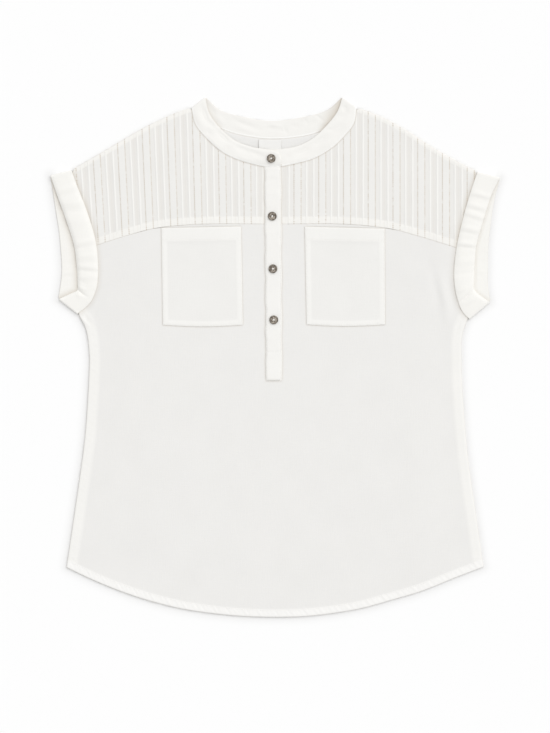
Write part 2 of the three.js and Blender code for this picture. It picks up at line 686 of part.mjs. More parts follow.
// Pockets: patch pockets with a deep hem at the mouth, which stands a little open.
for (const side of SIDES) {
  const [topA, topB, bottomB, bottomA] = POCKETS[side].corners;
  const depth = topA[1] - bottomA[1];
  const downs = [0, POCKET.hem - TUCK_EDGE, POCKET.hem + TUCK_EDGE, ...POCKET.rows, depth];
  const shares = span(0, 1, 1 / POCKET.columns);
  const { lerp } = THREE.MathUtils;
  const grid = downs.map((down) => shares.map((share) => {
    const way = down / depth;
    const [x, y] = [0, 1].map((axis) => {
      const atMouth = lerp(topA[axis], topB[axis], share);
      return lerp(atMouth, lerp(bottomA[axis], bottomB[axis], share), way);
    });
    const bow = POCKET.bottomBow * Math.sin(Math.PI * share) * way;
    return [x, y - bow, { down, share }];
  }));
  const mouth = (down, share) =>
    POCKET.mouthLift * Math.sin(Math.PI * share) * ramp(1 - down / POCKET.mouthReach);
  const marks = new Map(grid.flat().map(([x, y, mark]) => [x + "," + y, mark]));
  const under = (x, y) => {
    const { down, share } = marks.get(x + "," + y);
    return frontFloor(x, y) + CLOTH + GAP + mouth(down, share);
  };
  const over = (x, y, { down }) => under(x, y) + CLOTH + (down < POCKET.hem ? POCKET.hemRise : 0);
  add("pocket_" + side, sheet(grid, under, over), doubledVoile);
}

// Buttons: each a dished disc with a raised rim, on the middle of its band.
const buttonProfile = BUTTON_PROFILE.map(([radius, height]) => new THREE.Vector2(radius, height));
BUTTON_PLACES.forEach(([x, y], i) => {
  const geometry = new THREE.LatheGeometry(buttonProfile, BUTTON.segments);
  const onBand = i === 0 ? NECKBAND_LIFT + 2 * BAND + GAP : CLOTH + GAP + BAND;
  const top = Math.max(...[-1, 0, 1].flatMap((a) =>
    [-1, 0, 1].map((b) => frontFloor(x + a * BUTTON.radius, y + b * BUTTON.radius))));
  const button = add("button_" + (i + 1), geometry, buttonFinish);
  button.rotation.x = Math.PI / 2;
  button.position.set(x, y, top + onBand + GAP);
});

// Label: a plain ribbon that hangs inside the back neck and runs down behind the neckband.
{
  const columns = span(LABEL.right, LABEL.left, LABEL.acrossStep);
  const grid = span(LABEL.top, LABEL.bottom, LABEL.downStep).map((y) => columns.map((x) => [x, y]));
  add("label", sheet(grid, () => CLOTH + GAP, () => 2 * CLOTH + GAP), ribbon);
}

export default blouse;
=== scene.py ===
"""A woman's short-sleeved popover blouse of white voile, laid flat with its front up.

The tables are in millimetres: x runs to the wearer's left, y to the neck, and z up from the
surface that the blouse lies on. Meshes are made in metres.
"""

import math

import bpy
import numpy as np
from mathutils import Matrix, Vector
from mathutils.geometry import delaunay_2d_cdt


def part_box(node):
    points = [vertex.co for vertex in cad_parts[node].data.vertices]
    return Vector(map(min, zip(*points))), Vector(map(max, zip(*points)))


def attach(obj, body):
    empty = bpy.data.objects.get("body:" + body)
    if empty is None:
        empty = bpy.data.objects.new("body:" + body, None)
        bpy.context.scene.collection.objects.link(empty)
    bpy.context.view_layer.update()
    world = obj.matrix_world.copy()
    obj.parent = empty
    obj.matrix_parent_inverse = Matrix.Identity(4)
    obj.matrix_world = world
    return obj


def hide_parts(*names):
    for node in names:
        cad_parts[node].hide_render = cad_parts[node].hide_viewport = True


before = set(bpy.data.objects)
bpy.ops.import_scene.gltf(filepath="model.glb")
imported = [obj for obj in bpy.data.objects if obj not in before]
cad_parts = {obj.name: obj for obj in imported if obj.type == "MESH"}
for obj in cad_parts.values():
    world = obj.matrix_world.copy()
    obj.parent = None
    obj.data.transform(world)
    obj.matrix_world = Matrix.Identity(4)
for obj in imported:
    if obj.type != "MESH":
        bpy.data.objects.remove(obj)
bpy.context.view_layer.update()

# The back
# One piece of white voile from the shoulders to the curved hem, the lowest layer. It lies flat,
# with a few soft troughs where the cloth doesn't quite touch the surface.
MM = 0.001
CLOTH = 1.0
VOILE_STEP = 4.0
EDGE_STEP = 3.0
ROLL = 1.1
ROLL_DROP = 0.32
FAR = 9.0
TROUGHS_IN = 20
BACK_TROUGHS = [
    # from x, from y, to x, to y, half width, depth, bow
    (-214, 60, -150, -40, 9, 0.42, 8),
    (216, 52, 158, -70, 11, 0.45, -10),
    (-60, 214, -78, 60, 14, 0.35, 9),
    (48, 190, 84, 10, 12, 0.38, -12),
    (-176, -90, -198, -262, 16, 0.4, 6),
    (150, -120, 178, -280, 15, 0.38, -7),
    (-30, -40, 12, -250, 18, 0.32, 10),
    (-190, 210, -120, 182, 10, 0.3, 5),
    (186, 214, 110, 176, 10, 0.34, -5),
    (-90, 292, 84, 288, 12, 0.3, -16),
]

# the back's turned strips show through it: its side seams up to one height, its hem to another
BACK_SIDE_TURN, BACK_SIDE_TOP = 13, 40
BACK_HEM_TURN, BACK_HEM_TOP = 9, -250
NOT_TURNED = -9
NECK_SEAM_BACK = [
    (-111, 331), (-93, 313), (-68, 301), (-40, 293), (-4, 289),
    (36, 292.5), (66, 301), (90, 313), (108, 331),
]


def outline_of(node):
    """The edge of a flat part, seen from above, as points in mm with the cloth on their left."""
    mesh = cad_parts[node].data
    corners = [(round(v.co.x / MM, 3), round(v.co.y / MM, 3)) for v in mesh.vertices]
    steps = set()
    for face in mesh.polygons:
        if face.normal.z < 0.3:
            continue
        ring = [corners[i] for i in face.vertices]
        for step in zip(ring, ring[1:] + ring[:1]):
            back = (step[1], step[0])
            if back in steps:
                steps.remove(back)
            else:
                steps.add(step)
    after = dict(steps)
    run = [max(after)]
    while after[run[-1]] != run[0]:
        run.append(after[run[-1]])
    return np.array(run)


def smooth(points, per_span):
    """A smooth run through a table of points, with a given number of steps from one to the next."""
    given = np.array(points, float)
    last = len(given) - 1
    run = []
    for i in range(last * per_span + 1):
        span, share = divmod(i / per_span, 1)
        span = min(int(span), last)
        before, start = given[max(span - 1, 0)], given[span]
        end, after = given[min(span + 1, last)], given[min(span + 2, last)]
        leave, arrive = (end - before) / 2, (after - start) / 2
        run.append(
            (2 * start - 2 * end + leave + arrive) * share**3
            + (3 * end - 3 * start - 2 * leave - arrive) * share**2
            + leave * share + start
        )
    return np.array(run)


def divided(run, step, closed=True):
    """The same run with no step longer than a given one."""
    ends = np.roll(run, -1, axis=0) if closed else run[1:]
    points = []
    for a, b in zip(run, ends):
        parts = max(1, math.ceil(math.dist(a, b) / step))
        points += [a + (b - a) * i / parts for i in range(parts)]
    if not closed:
        points.append(run[-1])
    return np.array(points)


def sideways(run, distance, closed=False):
    """A run moved to its left by a distance in mm."""
    if closed:
        way = np.roll(run, -1, axis=0) - np.roll(run, 1, axis=0)
    else:
        way = np.gradient(run, axis=0)
    way = way / np.linalg.norm(way, axis=1, keepdims=True)
    square = np.stack([-way[:, 1], way[:, 0]], axis=1)
    return run + square * np.reshape(distance, (-1, 1))


def from_edge(run, x, y, closed=False, signed=False):
    """Distance to a run; with signed, it is below 0 for points to its right."""
    ends = np.roll(run, -1, axis=0) if closed else run[1:]
    nearest = np.full(np.shape(x), np.inf)
    for (ax, ay), (bx, by) in zip(run, ends):
        dx, dy = bx - ax, by - ay
        share = np.clip(((x - ax) * dx + (y - ay) * dy) / (dx * dx + dy * dy + 1e-12), 0, 1)
        away = np.hypot(x - ax - share * dx, y - ay - share * dy)
        if signed:
            left = dx * (y - ay) - dy * (x - ax) > 0
            nearer = away < np.abs(nearest)
            nearest = np.where(nearer, np.where(left, away, -away), nearest)
        else:
            nearest = np.minimum(nearest, away)
    return nearest


def within(run, x, y):
    """Whether points lie inside a closed run."""
    inside = np.zeros(np.shape(x), bool)
    for (ax, ay), (bx, by) in zip(run, np.roll(run, -1, axis=0)):
        if ay == by:
            continue
        crosses = (ay > y) != (by > y)
        inside ^= crosses & (x < ax + (y - ay) / (by - ay) * (bx - ax))
    return inside


def woven_places(outline, step):
    """Points over an outline's box, each row set half a step from the last."""
    low, high = outline.min(axis=0), outline.max(axis=0)
    rows = np.arange(low[1], high[1], step * math.sqrt(3) / 2)
    places = []
    for i, y in enumerate(rows):
        x = np.arange(low[0] + (i % 2) * step / 2, high[0], step)
        places.append(np.stack([x, np.full(x.shape, y)], axis=1))
    return np.vstack(places)


def cut_out(outline, places, step=EDGE_STEP):
    """Cloth cut to an outline: its points in the plane and its faces, seen from above."""
    edge = divided(outline, step)
    rolled = sideways(edge, ROLL / 2, closed=True)
    inner = sideways(edge, ROLL, closed=True)
    extra = np.vstack([rolled, inner])
    extra = extra[from_edge(edge, extra[:, 0], extra[:, 1], closed=True) > ROLL / 2 * 0.9]
    clear = from_edge(edge, places[:, 0], places[:, 1], closed=True) > ROLL + 0.5
    kept = places[clear & within(edge, places[:, 0], places[:, 1])]
    points = np.vstack([edge, extra[within(edge, extra[:, 0], extra[:, 1])], kept])
    sides = [(i, (i + 1) % len(edge)) for i in range(len(edge))]
    made = delaunay_2d_cdt([Vector(p) for p in points.tolist()], sides, [], 1, 1e-5)
    flat = np.array([tuple(p) for p in made[0]])
    faces = np.array([face[:] for face in made[2]])
    a, b, c = (flat[faces[:, i]] for i in range(3))
    turned = (b[:, 0] - a[:, 0]) * (c[:, 1] - a[:, 1]) < (b[:, 1] - a[:, 1]) * (c[:, 0] - a[:, 0])
    faces[turned] = faces[turned][:, ::-1]
    return flat, faces


def new_piece(name, points, faces, marks):
    """A smooth mesh from points in mm, in the scene. marks are values at its points."""
    mesh = bpy.data.meshes.new(name)
    mesh.from_pydata((np.array(points) * MM).tolist(), [], faces)
    mesh.polygons.foreach_set("use_smooth", [True] * len(mesh.polygons))
    for mark, values in marks.items():
        layer = mesh.attributes.new(mark, "FLOAT", "POINT")
        layer.data.foreach_set("value", np.array(values, np.float32))
    mesh.update()
    piece = bpy.data.objects.new(name, mesh)
    bpy.context.scene.collection.objects.link(piece)
    return piece


def shell(name, over, under, faces, marks):
    """A closed thin wall. over and under are the same points on the two sides of the cloth."""
    count = len(over)
    faces = np.array(faces)
    ends = np.roll(faces, -1, axis=1)
    ahead = (faces * count + ends).ravel()
    behind = (ends * count + faces).ravel()
    open_sides = ~np.isin(ahead, behind)
    a, b = faces.ravel()[open_sides], ends.ravel()[open_sides]
    rim = np.stack([b, a, a + count, b + count], axis=1)
    points = np.vstack([over, under])
    every = faces.tolist() + (faces[:, ::-1] + count).tolist() + rim.tolist()
    p, q, r = (points[faces[:, i]] for i in range(3))
    u, v, w = (points[faces[:, i] + count] for i in range(3))
    volume = np.einsum("ij,ij->", p, np.cross(q, r)) - np.einsum("ij,ij->", u, np.cross(v, w))
    if faces.shape[1] == 4:
        s, t = points[faces[:, 3]], points[faces[:, 3] + count]
        volume += np.einsum("ij,ij->", p, np.cross(r, s)) - np.einsum("ij,ij->", u, np.cross(w, t))
    if volume < 0:
        every = [face[::-1] for face in every]
    marks = {**marks, "cover": np.full(count, FAR)}
    return new_piece(name, points, every, {mark: np.tile(values, 2) for mark, values in marks.items()})


def laid_shell(name, x, y, over, under, faces, marks):
    """A closed thin wall over places in the plane, from one height to another."""
    return shell(name, np.stack([x, y, over], axis=1), np.stack([x, y, under], axis=1), faces, marks)


def area_of(flat, faces):
    """Area of a cut in square metres."""
    a, b, c = (flat[faces[:, i]] for i in range(3))
    twice = (b[:, 0] - a[:, 0]) * (c[:, 1] - a[:, 1]) - (b[:, 1] - a[:, 1]) * (c[:, 0] - a[:, 0])
    return float(np.abs(twice).sum() / 2) * MM * MM


def hump(away, half):
    """1 at no distance, and fading out on both sides over a half width."""
    return np.exp(-((away / half) ** 2))


def creases(rows, x, y):
    """Height of soft ridges that fade out at their ends and to each side."""
    height = np.zeros(np.shape(x))
    for ax, ay, bx, by, half, rise, bow in rows:
        dx, dy = bx - ax, by - ay
        length = math.hypot(dx, dy)
        along = np.clip(((x - ax) * dx + (y - ay) * dy) / length**2, 0, 1)
        across = ((x - ax) * dy - (y - ay) * dx) / length - bow * np.sin(math.pi * along)
        height += rise * np.sin(math.pi * along) ** 2 * hump(across, half)
    return height


def rolled_edge(edge, drop=ROLL_DROP, reach=ROLL):
    """How far the cloth turns down at its own edge."""
    return drop * (1 - np.clip(edge / reach, 0, 1)) ** 2


def drawn_to(outline, run, near, past):
    """An outline whose points beside a seam are drawn to it, and past it by a distance."""
    moved = []
    for point in outline:
        share = np.einsum("ij,ij->i", point - run[:-1], np.diff(run, axis=0))
        share = np.clip(share / (np.diff(run, axis=0) ** 2).sum(axis=1), 0, 1)
        feet = run[:-1] + np.diff(run, axis=0) * share[:, None]
        away = np.linalg.norm(feet - point, axis=1)
        foot, least = feet[away.argmin()], away.min()
        moved.append(foot + (foot - point) / least * past if 0 < least < near else point)
    return np.array(moved)


class Shade:
    """One socket of a material. Arithmetic on it adds the nodes that work it out."""

    def __init__(self, tree, socket=None):
        self.tree = tree
        self.socket = socket

    def node(self, kind, settings, sockets, output=0):
        """Adds a node with its settings and inputs, and gives one of its outputs."""
        made = self.tree.nodes.new("ShaderNode" + kind)
        for name, value in settings.items():
            setattr(made, name, value)
        for name, value in sockets.items():
            if isinstance(value, Shade):
                self.tree.links.new(value.socket, made.inputs[name])
            else:
                made.inputs[name].default_value = value
        return Shade(self.tree, made.outputs[output] if made.outputs else None)

    def also(self, output):
        """Another output of the same node."""
        return Shade(self.tree, self.socket.node.outputs[output])

    def mark(self, name):
        """The value that a mesh carries at its points under this name."""
        return self.node("Attribute", {"attribute_name": name}, {}, "Fac")

    def place(self):
        """Where a point is, in metres."""
        return self.node("TexCoord", {}, {}, "Object")

    def bump(self, strength, distance, height):
        return self.node("Bump", {}, {"Strength": strength, "Distance": distance, "Height": height})

    def surface(self, sockets):
        """The material's surface, from the sockets of its shader."""
        shader = self.node("BsdfPrincipled", {}, sockets)
        return self.node("OutputMaterial", {}, {"Surface": shader})

    def math(self, operation, *values, clamp=False):
        return self.node("Math", {"operation": operation, "use_clamp": clamp}, dict(enumerate(values)))

    def __add__(self, other):
        return self.math("ADD", self, other)

    def __radd__(self, other):
        return self.math("ADD", other, self)

    def __sub__(self, other):
        return self.math("SUBTRACT", self, other)

    def __rsub__(self, other):
        return self.math("SUBTRACT", other, self)

    def __mul__(self, other):
        return self.math("MULTIPLY", self, other)

    def __rmul__(self, other):
        return self.math("MULTIPLY", other, self)

    def __truediv__(self, other):
        return self.math("DIVIDE", self, other)

    def within(self, half, soft):
        """1 where this value is nearer to 0 than half, fading out over soft."""
        return self.math("ADD", (half - self.math("ABSOLUTE", self)) / soft, 0.5, clamp=True)

    def over(self, least, soft):
        """1 where this value is above least, fading in over soft."""
        return self.math("ADD", (self - least) / soft, 0.5, clamp=True)

    def mix(self, factor, first, second):
        return self.node("Mix", {"data_type": "RGBA"}, {0: factor, 6: first, 7: second}, output=2)

    def scaled(self, factor):
        return self.node("VectorMath", {"operation": "SCALE"}, {0: self, "Scale": factor})

    def stretched_noise(self, place, per_metre, detail):
        """Cloudy values from 0 to 1, with their own fineness along x, y and z."""
        spread = self.node("VectorMath", {"operation": "MULTIPLY"}, {0: place, 1: per_metre})
        return self.node("TexNoise", {}, {"Vector": spread, "Scale": 1.0, "Detail": detail})


def new_material(name):
    """An empty material, and a Shade that adds to it."""
    material = bpy.data.materials.new(name)
    material.use_nodes = True
    material.node_tree.nodes.clear()
    return material, Shade(material.node_tree)


LIGHT_LEVEL = 1.045


def seen(red, green, blue):
    """The colour of a surface that this scene's light shows as the given screen colour."""
    linear = []
    for value in (red, green, blue):
        share = value / 255
        linear.append(((share + 0.055) / 1.055) ** 2.4 / LIGHT_LEVEL)
    return (*linear, 1.0)


# the colour of the painted beige shade along every cloth edge, and how strongly it is laid on
EDGE_SHADE_BEIGE = seen(226, 219, 206)
EDGE_SHADE_TINT = 0.3
# the colour of painted warm shade where other cloth lies on or beside a piece
WARM_SHADE = seen(178, 161, 134)
YARN_PITCH = 0.55
YARN_RISE = 0.05
SLUB_TONE = 0.05
CLOUD_TONE = 0.045
# a lighter line along a band's sewn edge: four layers of cloth at the topstitching, and a painted highlight
# on its rolled edge
RIM_IN = 1.8
RIM_HALF = 0.7
RIM_LAYERS_AND_HIGHLIGHT = 0.8


def cloth_finish(name, colour_of, roughness=0.88, edge_shade_reach=0.8, shade_depth=0.22, rim=None):
    """A matt woven finish, with painted beige shade along its edges and painted warm shade where other cloth
    lies near. colour_of lays out the plain colour from the piece's own marks.
    """
    material, shade = new_material(name)
    place = shade.place()
    x = shade.node("SeparateXYZ", {}, {0: place}, "X")
    y = x.also("Y")
    turn = math.pi / (YARN_PITCH * MM)
    warp = shade.math("SINE", x * turn)
    weft = shade.math("SINE", y * turn)
    warp_slubs = shade.stretched_noise(place, (900, 60, 0), 2.0)
    weft_slubs = shade.stretched_noise(place, (55, 1000, 0), 2.0)
    clouds = shade.stretched_noise(place, (26, 22, 0), 3.0)
    slubs = (warp_slubs + weft_slubs - 1.0) * 0.5
    yarns = warp * weft * YARN_RISE + slubs * 0.5
    plain = colour_of(shade)
    if rim:
        # lighter line by the sewn edge: four layers of cloth at the topstitching, and a painted highlight
        plain = shade.mix((shade.mark("sewn_edge") - RIM_IN).within(RIM_HALF, 0.5) * RIM_LAYERS_AND_HIGHLIGHT, plain, rim)
    # painted shade: a beige line along each edge of the cloth, where shade falls
    by_edge_shade = shade.math("MULTIPLY", 1 - shade.mark("edge") / edge_shade_reach, EDGE_SHADE_TINT, clamp=True)
    edge_shaded = shade.mix(by_edge_shade, plain, EDGE_SHADE_BEIGE)
    # painted warm shade, deepest where other cloth lies on or beside this piece
    near = shade.math("SUBTRACT", 1, shade.mark("cover"), clamp=True)
    shaded = shade.mix(near * near * shade_depth, edge_shaded, WARM_SHADE)
    colour = shaded.scaled(1.0 + slubs * SLUB_TONE + (clouds - 0.5) * CLOUD_TONE)
    shade.surface({
        "Base Color": colour,
        "Roughness": roughness,
        "Specular IOR Level": 0.25,
        "Sheen Weight": 0.12,
        "Sheen Roughness": 0.5,
        "Normal": shade.bump(0.75, 0.35 * MM, yarns),
    })
    return material


def plain_voile(name, single, doubled, hemmed):
    """Voile over another layer, whiter where its own edge is turned in, and more so at the hem."""

    def colour_of(shade):
        body = shade.mix(shade.mark("turned").over(0, 5.0), single, doubled)
        return shade.mix(shade.mark("hem").over(0, 1.4), body, hemmed)

    return cloth_finish(name, colour_of)


def sewn(piece, node, finish, flat, area=None):
    """A piece of cloth takes its finish and its node's place. Its cut, flat and area, is not used."""
    piece.data.materials.append(finish)
    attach(piece, "root")
    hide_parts(node)


VOILE = plain_voile("white_voile", seen(238.8, 237.7, 235.2), seen(246, 244.8, 241.5), seen(249, 248, 245.6))

back_cut = drawn_to(outline_of("back_panel"), smooth(NECK_SEAM_BACK, 4), 0.5, 0.0)
back_flat, back_faces = cut_out(back_cut, woven_places(back_cut, VOILE_STEP))
bx, by = back_flat.T
back_edge = from_edge(back_cut, bx, by, closed=True)
back_under = creases(BACK_TROUGHS, bx, by) * np.clip(back_edge / TROUGHS_IN, 0, 1)
back_over = np.full(bx.shape, CLOTH) - rolled_edge(back_edge)
back_marks = {
    "edge": back_edge,
    "turned": np.where(by < BACK_SIDE_TOP, BACK_SIDE_TURN - back_edge, NOT_TURNED),
    "hem": np.where(by < BACK_HEM_TOP, BACK_HEM_TURN - back_edge, NOT_TURNED),
}
back = laid_shell("back", bx, by, back_over, back_under, back_faces, back_marks)
back_size = np.ptp(back_cut, axis=0) * MM
sewn(back, "back_panel", VOILE, tuple(back_size), area_of(back_flat, back_faces))

# The lower front
# One piece of the same voile, from the yoke seam to the hem. It lies on the back and rises a
# little away from its edges. Its sides are seamed to the back, and its hem is turned up twice.
FRONT_FLOOR = 1.3
LOFT = 1.8
LOFT_REACH = 100
SHOULDER = {
    "right": [(-111, 331), (-136, 322), (-172, 305), (-204, 286.5), (-232, 270), (-270, 248)],
    "left": [(108, 331), (140, 319), (173.5, 301), (207.5, 279), (239.5, 260.5), (268, 246)],
}
SIDE = {
    "right": [
        (-261, 57), (-250.5, 36), (-246.5, 7), (-246.5, -22), (-252, -106), (-265, -201), (-276.5, -278.5),
    ],
    "left": [(255, 50), (247.5, 27), (247, -7.5), (248, -42), (255, -129), (268, -221), (276, -278)],
}
HEM = [
    (-276.5, -278.5), (-242, -295), (-198.5, -312.5), (-155, -326), (-112, -335.5), (-54, -342.5),
    (0, -344.5), (51, -342.5), (109, -334), (152, -322.5), (195.5, -309.5), (239, -292), (276, -278),
]
SLEEVE_MOUTH = {
    "right": [(-298, 241), (-292, 201), (-286, 161), (-283, 121), (-284, 101), (-288, 76.5)],
    "left": [
        (298.4, 238), (290.5, 208), (285.5, 175), (282.5, 146.5), (282, 117.5), (282, 96), (285.5, 72.5),
    ],
}
NECK_TOP = [(-92.5, 345), (-72, 327), (-40, 318), (-4, 313), (36, 318), (68, 327), (89, 345)]
FRONT_FOLDS = [
    # from x, from y, to x, to y, half width, rise, bow
    (213, 132, 240, 6, 6.5, 2.2, 0),
    (226, 118, 246, 22, 5.5, -1.7, 0),
    (202, 140, 224, 40, 7, -1.2, 0),
    (-240, 60, -238, -10, 8, 0.7, 0),
    (-196, 20, -214, -160, 26, 0.5, 0),
    (176, -20, 208, -190, 26, 0.5, 0),
    (198, 128, 236, 30, 4, 0.35, 5),
    (-222, 118, -236, 20, 7, 0.3, -4),
    (-120, -60, -150, -250, 22, 0.22, 9),
    (96, -40, 120, -230, 24, 0.22, -8),
    (-30, -60, -44, -300, 20, 0.16, 5),
    (60, 20, 40, -140, 18, -0.15, 6),
    (-188, 140, -206, 60, 12, 0.2, 6),
]
UNDERARM_FOLDS = [
    (-263, 60, -244, 36, 2.4, 0.9, 0),
    (-256, 58, -240, 40, 1.6, -0.7, 0),
    (-250, 64, -236, 40, 2.4, 0.5, 1),
    (-262, 50, -248, 22, 1.8, -0.5, 0),
    (256, 54, 240, 30, 2.4, 0.8, 0),
    (250, 56, 234, 36, 2.0, -0.6, 0),
    (246, 66, 232, 30, 2.6, 0.5, 1),
]
YOKE_SEAM = [
    (-262, 139), (-236, 148.5), (-192, 162.5), (-152, 172), (-92, 176.5), (-16, 176.5), (14, 176.5),
    (88, 176.5), (148, 171), (188, 161), (237.5, 146), (262, 138),
]
HEM_TURN = 10.0
SIDE_TURN = 13.0
TURN_RISE = 0.28
FINE_STEP = 1.5
# how far in from the hem and the side seams the mesh has its own rows of points
HEM_FINE = 15
SIDE_FINE = 18
SEAM_GAP = 0.04
OUTER_DROP = 0.6
OUTER_ROLL = 2.0
GAP = 0.3
SLIT_HALF = 9.0
SLIT_BOTTOM = 1.7
UNDER_HALF = 7.0


def ramp(value):
    """0 up to 0, 1 from 1 on, and eased at both ends between."""
    share = np.clip(value, 0, 1)
    return share * share * (3 - 2 * share)


def step_up(past, soft):
    """0 to 1 across a step that is as wide as soft, with its middle at 0."""
    return ramp(past / soft + 0.5)


SEAMS = {side: smooth(SIDE[side], 4) for side in SIDE}
SHOULDER_LINES = {side: smooth(SHOULDER[side], 4) for side in SHOULDER}
HEM_LINE = smooth(HEM, 4)
SEAM_LINE = smooth(YOKE_SEAM, 5)
LAID_EDGES = [
    SHOULDER_LINES["right"],
    np.vstack([smooth(SLEEVE_MOUTH["right"], 3), SEAMS["right"]]),
    HEM_LINE,
    np.vstack([smooth(SLEEVE_MOUTH["left"], 3), SEAMS["left"]])[::-1],
    SHOULDER_LINES["left"][::-1],
    smooth(NECK_TOP, 4)[::-1],
]


def from_sides(x, y):
    """Distance to the nearer side seam."""
    return np.minimum(from_edge(SEAMS["right"], x, y), from_edge(SEAMS["left"], x, y))


def front_floor(x, y):
    """Height of the front's underside over the table, away from its seams to the back."""
    lift = np.ones(np.shape(x))
    for laid_edge in LAID_EDGES:
        lift = lift * ramp(from_edge(laid_edge, x, y, signed=True) / LOFT_REACH)
    spare = np.minimum(1, lift * 3)
    return FRONT_FLOOR + LOFT * lift + spare * creases(FRONT_FOLDS, x, y)


def slanting_puckers(along, away, depth):
    """Uneven small ripples across a turned strip, which slant and die out at its two edges."""
    place = along + 0.7 * away + 2.5 * np.sin(along / 37)
    wave = np.sin(place / 1.05) + 0.6 * np.sin(place / 1.55 + 1) + 0.5 * np.sin(place / 2.7 + 2)
    return 0.16 * wave * np.sin(math.pi * np.clip(away / depth, 0, 1))


def under_placket_edge(outline):
    """An outline whose edges beside the slit reach in under the upper placket."""
    beside = (np.abs(outline[:, 0]) < SLIT_HALF + 0.5) & (outline[:, 1] > SLIT_BOTTOM - 0.5)
    drawn = outline.copy()
    drawn[beside, 0] = np.sign(outline[beside, 0]) * (UNDER_HALF + GAP / 2)
    return drawn


def front_underside(x, y, outer_gap):
    """Height of the front's underside, which comes down to the back at the seams that join them."""
    return CLOTH + SEAM_GAP + (front_floor(x, y) - CLOTH + 0.1) * ramp(outer_gap / 3.5)


def lower_front_top(x, y):
    """Height of the lower front's upper side over the table."""
    hem = from_edge(HEM_LINE, x, y)
    side = from_sides(x, y)
    turned = np.maximum(step_up(HEM_TURN - hem, 1.2), step_up(SIDE_TURN - side, 1.6))
    ripples = slanting_puckers(x, hem, HEM_TURN) + 0.12 * slanting_puckers(x + 40, hem, 2 * HEM_TURN)
    side_ripples = 0.7 * slanting_puckers(1.3 * y, side, SIDE_TURN)
    ripples = ripples + side_ripples + creases(UNDERARM_FOLDS, x, y)
    return front_floor(x, y) + CLOTH + TURN_RISE * turned + ripples


front_cut = under_placket_edge(drawn_to(outline_of("front_body"), SEAM_LINE, 0.3, 0.02))
wide_places = woven_places(front_cut, VOILE_STEP)
hem_away = from_edge(HEM_LINE, *wide_places.T)
side_away = from_sides(*wide_places.T)
hem_rows = [divided(sideways(HEM_LINE, away), FINE_STEP, False) for away in np.arange(1.9, 14, FINE_STEP)]
side_rows = [
    divided(sideways(SEAMS[side], sign * away), 2.6, False)
    for side, sign in (("right", 1), ("left", -1))
    for away in np.arange(2.4, 17, 2.3)
]
side_rows = np.vstack(side_rows)
side_rows = side_rows[from_edge(HEM_LINE, *side_rows.T) > HEM_FINE]
inner_places = wide_places[(hem_away > HEM_FINE) & (side_away > SIDE_FINE)]
front_places = np.vstack([inner_places, side_rows, *hem_rows])
front_flat, front_faces = cut_out(front_cut, front_places, 2.2)
fx, fy = front_flat.T
front_edge = from_edge(front_cut, fx, fy, closed=True)
side_gap = from_sides(fx, fy)
hem_gap = from_edge(HEM_LINE, fx, fy)
outer_gap = np.minimum(side_gap, hem_gap)
front_over = lower_front_top(fx, fy) - rolled_edge(front_edge, SEAM_GAP)
front_over -= rolled_edge(outer_gap, OUTER_DROP, OUTER_ROLL)
front_marks = {"edge": front_edge, "turned": SIDE_TURN - side_gap, "hem": HEM_TURN - hem_gap}
front_under = front_underside(fx, fy, outer_gap)
lower_front = laid_shell("lower_front", fx, fy, front_over, front_under, front_faces, front_marks)
front_size = np.ptp(front_cut, axis=0) * MM
front_area = area_of(front_flat, front_faces)
sewn(lower_front, "front_body", VOILE, tuple(front_size), front_area)

# The yokes
# Two pieces of voile, each stitched into pairs of pin tucks, with a flat tuck between two lines
# of hemstitch holes after each pair. The allowance of the seam below is turned up behind them.
TUCK_PERIOD = 32.8
PANEL_HALF = 4.7
PIN_APART = 4.7
PIN_HALF = 1.5
PIN_RISE = 0.65
PANEL_RISE = 0.3
LEVEL_Y = 214
TUCK_COUNT = 8
PLACKET_CLEAR = 17
FIRST_PANEL = {"right": -36.7, "left": 29.6}
LEAN = {"right": 0.00026, "left": 0}
OUTWARD = {"right": -1, "left": 1}
NECK_FRONT = {
    "right": {
        "sewn": [
            (-111, 331), (-106, 309), (-92, 291), (-72, 273),
            (-48, 261), (-16, 252.5), (2, 251.5), (7.5, 252),
        ],
        "free": [
            (-92.5, 345), (-88, 325), (-76, 307), (-56, 289),
            (-32, 279), (-10, 275.5), (3, 272.5), (7.5, 263),
        ],
    },
    "left": {
        "sewn": [
            (108, 331), (104, 309), (88, 289), (72, 275),
            (48, 262), (12, 253), (-2, 251.5), (-8.5, 251.5),
        ],
        "free": [(89, 345), (82, 325), (66, 305), (48, 289), (28, 279.5), (8, 276), (-2, 275), (-8.5, 275)],
    },
}
SEAM_STRIP = 9.0
SHOULDER_STRIP = 5.0
STRIP_RISE = 0.3
# the mesh's columns across a pin tuck and across a line of holes, and its rows up a yoke
PIN_COLUMNS = np.array([-2.4, -1.5, -1.0, -0.5, 0, 0.5, 1.0, 1.5, 2.4])
LINE_COLUMNS = np.array([-1.2, -0.6, 0, 0.6, 1.2])
YOKE_ROWS = np.arange(134, 334, 3.0)
HOLE_PITCH = 2.6
LINE_TINT = 0.45
MIDDLE_TINT = 0.4
YOKE_SINGLE = seen(238, 236.5, 233)
YOKE_PANEL = seen(240, 239, 236)
YOKE_BETWEEN = seen(236, 234, 230)
YOKE_PIN = seen(245, 244.2, 241)
YOKE_TURNED = seen(246, 244.5, 240.5)
YOKE_LINE = seen(232, 227, 219)
YOKE_HOLE = seen(190, 175, 155)


def tuck_phase(side, x, y):
    """Distance to the nearest flat tuck's middle, and how far out from the first one."""
    c = x / (1 + LEAN[side] * (y - LEVEL_Y))
    out = OUTWARD[side] * (c - FIRST_PANEL[side])
    return np.abs(out - TUCK_PERIOD * np.round(out / TUCK_PERIOD)), out


